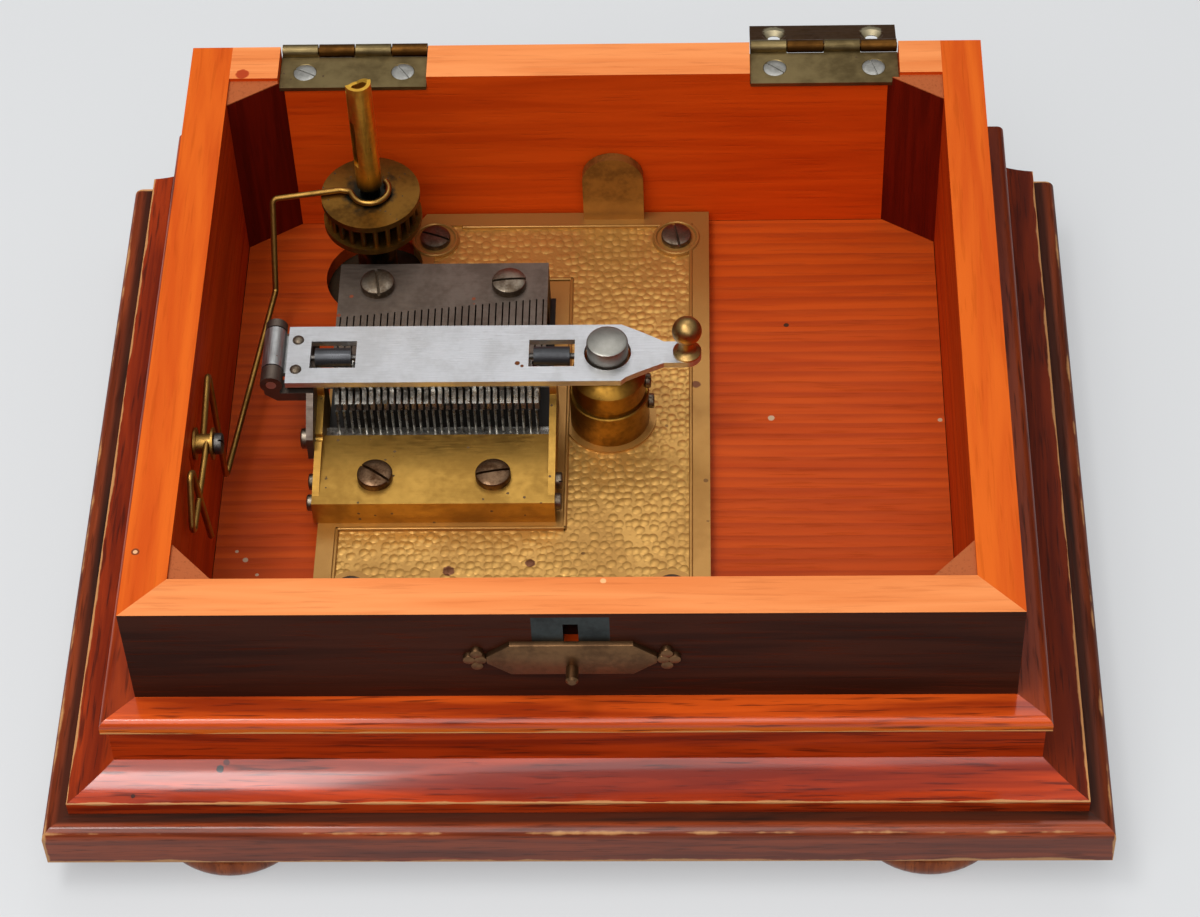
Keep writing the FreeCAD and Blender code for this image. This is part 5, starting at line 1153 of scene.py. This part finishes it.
@dataclass
class BedplateBeads:
    """Raised beads along the casting's border and round the screw bosses."""

    width: float = 1.1 * MM
    height: float = 0.75 * MM
    sunk: float = 0.4 * MM
    border: float = 5.6 * MM
    frame_side: float = 6.2 * MM
    frame_back: float = 8.0 * MM
    frame_front: float = 2.0 * MM
    corner: float = 9.0 * MM
    ear_gap: float = 4.0 * MM
    boss: float = 6.6 * MM
    facets: int = 40

    def strip(self, bm: bmesh.types.BMesh, start: Vector, end: Vector) -> None:
        """One straight bead with rounded shoulders.

        Args:
            bm: The mesh to add to.
            start: One end, on the casting.
            end: The other end.
        """
        length, middle = (end - start).length, (start + end) / 2
        made = bmesh.ops.create_cube(bm, size=1.0)["verts"]
        size = Matrix.Diagonal((length + self.width, self.width, self.height * 2, 1.0))
        heading = math.atan2(end.y - start.y, end.x - start.x)
        place = Matrix.Translation(middle) @ Matrix.Rotation(heading, 4, "Z")
        bmesh.ops.transform(bm, matrix=place @ size, verts=made)
        edges = list({edge for vert in made for edge in vert.link_edges})
        bmesh.ops.bevel(bm, geom=edges, offset=self.width * 0.33, segments=3, profile=0.5, material=-1,
                        affect="EDGES")

    def ring(self, bm: bmesh.types.BMesh, centre: Vector, radius: float) -> None:
        """One round bead about a screw boss."""
        half, tall = self.width / 2, self.height
        rise = [(half, -tall * 0.6), (half, tall * 0.5), (half * 0.5, tall * 0.9)]
        profile = [(radius - out, up) for out, up in rise]
        profile += [(radius + out, up) for out, up in reversed(rise)]
        turn(bm, profile, self.facets, centre)

    def build(self) -> bpy.types.Object:
        """Beads on the border, round the post side of the frame and round two bosses; returns the piece."""
        low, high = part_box("bedplate")
        comb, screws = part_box("comb"), islands("bedplate_screws")
        level = PLATE_TOP - self.sunk
        left, right = low.x + self.border, high.x - self.border
        front, back = low.y + self.border, high.y - self.border
        frame_x, frame_y = comb[1].x + self.frame_side, comb[1].y + self.frame_back
        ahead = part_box("gantry_block")[0].y - self.frame_front
        ear = max(screws, key=lambda pair: pair[1].y - pair[1].x)[1].x
        runs = [((right, front), (right, back - self.corner)),
                ((right - self.corner, back), (ear + self.ear_gap, back)),
                ((frame_x, ahead), (frame_x, frame_y)), ((frame_x, frame_y), (ear, frame_y)),
                ((left, ahead), (frame_x, ahead)), ((left, front), (left, ahead))]
        bm = bmesh.new()
        for start, end in runs:
            self.strip(bm, Vector((*start, level)), Vector((*end, level)))
        for pair in screws:
            middle = (pair[0] + pair[1]) / 2
            if middle.y > 0:
                self.ring(bm, Vector((middle.x, middle.y, PLATE_TOP)), self.boss)
        return finish_mesh("bedplate_beads", bm, BED_GILT, "case")


@dataclass(frozen=True)
class Lamp:
    """A soft square lamp: its place and size in metres and its power in watts."""

    name: str
    place: Triple
    size: float
    power: float


LAMPS = (
    Lamp("key_lamp", (-0.3, -0.6, 1.2), 1.0, 9.0), Lamp("window_lamp", (-0.36, -0.05, 1.3), 0.34, 4.6),
    Lamp("fill_lamp", (0.3, -1.0, 0.9), 0.8, 1.9), Lamp("back_lamp", (0.05, 0.75, 1.3), 0.7, 2.4),
)


@dataclass
class Studio:
    """Pale floor, soft light and the camera at the photograph's angle."""

    focal: float = 100.58
    eye: Triple = (0.03717, -0.62937, 0.78103)
    turn_vector: Triple = (2.4492, 0.0073, -0.0436)
    floor_colour: Colour = (0.33, 0.335, 0.335)
    floor_glow: float = 0.385
    world_low: float = 0.14
    world_high: float = 0.58
    world_seen: float = 0.75
    target: Triple = (0.0, 0.0, 0.04)
    floor_reach: float = 4.0
    sensor: float = 36.0

    def floor(self) -> None:
        """A wide plain floor at the feet."""
        bm = bmesh.new()
        bmesh.ops.create_grid(bm, x_segments=1, y_segments=1, size=self.floor_reach)
        mesh = bpy.data.meshes.new("studio_floor")
        bm.to_mesh(mesh)
        bm.free()
        material = bpy.data.materials.new("floor_paper")
        material.use_nodes = True
        tree = Tree(material.node_tree)
        shader = material.node_tree.nodes["Principled BSDF"]
        rays = tree.add("ShaderNodeLightPath").outputs
        seen = tree.math("MAXIMUM", tree.math("MAXIMUM", rays["Is Camera Ray"], rays["Is Glossy Ray"]),
                         rays["Is Transmission Ray"])
        tree.feed_all(shader, {"Base Color": self.floor_colour, "Emission Color": (0.97, 0.98, 1.0),
                               "Emission Strength": tree.math("MULTIPLY", seen, self.floor_glow),
                               "Roughness": 0.85, "Specular IOR Level": 0.1})
        mesh.materials.append(material)
        floor = bpy.data.objects.new("studio_floor", mesh)
        bpy.context.scene.collection.objects.link(floor)

    def lamp(self, soft: Lamp) -> None:
        """Hang one lamp so that it looks at the object."""
        data = bpy.data.lights.new(soft.name, "AREA")
        data.size, data.energy = soft.size, soft.power
        lamp = bpy.data.objects.new(soft.name, data)
        lamp.location = soft.place
        aim = Vector(self.target) - Vector(soft.place)
        lamp.rotation_mode = "QUATERNION"
        lamp.rotation_quaternion = aim.to_track_quat("-Z", "Y")
        bpy.context.scene.collection.objects.link(lamp)

    def world(self) -> None:
        """Light from overhead that fades toward the horizon, as in a room with one soft box."""
        world = bpy.data.worlds.new("studio_world")
        world.use_nodes = True
        tree = Tree(world.node_tree)
        background = world.node_tree.nodes["Background"]
        up = tree.xyz(tree.add("ShaderNodeTexCoord").outputs["Generated"])[2]
        sky = tree.step(up, 0.35, 0.8, self.world_low, self.world_high)
        rays = tree.add("ShaderNodeLightPath").outputs
        seen = tree.math("MAXIMUM", rays["Is Camera Ray"], rays["Is Transmission Ray"])
        shown = tree.math("MULTIPLY", seen, self.world_seen)
        tree.feed_all(background, {"Color": (0.95, 0.97, 1.0), "Strength": tree.math("MAXIMUM", sky, shown)})
        bpy.context.scene.world = world

    def camera(self) -> None:
        """The camera that the photograph was solved for."""
        data = bpy.data.cameras.new("camera")
        data.lens, data.sensor_width = self.focal, self.sensor
        axis = Vector(self.turn_vector)
        seen = Matrix.Rotation(axis.length, 3, axis.normalized())
        right, down, ahead = seen[0], seen[1], seen[2]
        place = Matrix((right, -down, -ahead)).transposed().to_4x4()
        centre_y = (WALL_LOW.y + WALL_HIGH.y) / 2
        place.translation = Vector(self.eye) + Vector((0.0, centre_y, 0.0))
        camera = bpy.data.objects.new("camera", data)
        camera.matrix_world = place
        bpy.context.scene.collection.objects.link(camera)
        bpy.context.scene.camera = camera

    def build(self) -> None:
        """Set up everything round the object."""
        bpy.context.scene.view_settings.view_transform = "Standard"
        self.floor()
        self.world()
        for soft in LAMPS:
            self.lamp(soft)
        self.camera()


def main() -> None:
    """Dress the nodes, add the small fittings and set the studio up."""
    logging.basicConfig(level=logging.INFO, format="%(message)s")
    dress_nodes()
    turned = (TurnedFeet(), BallKnob(), CentrePost())
    for fitting in (*SCREWS, *turned, BedplateBeads(), CatchPlate(), DomedRivets()):
        fitting.build()
    Studio().build()


if __name__ == "__main__":
    main()
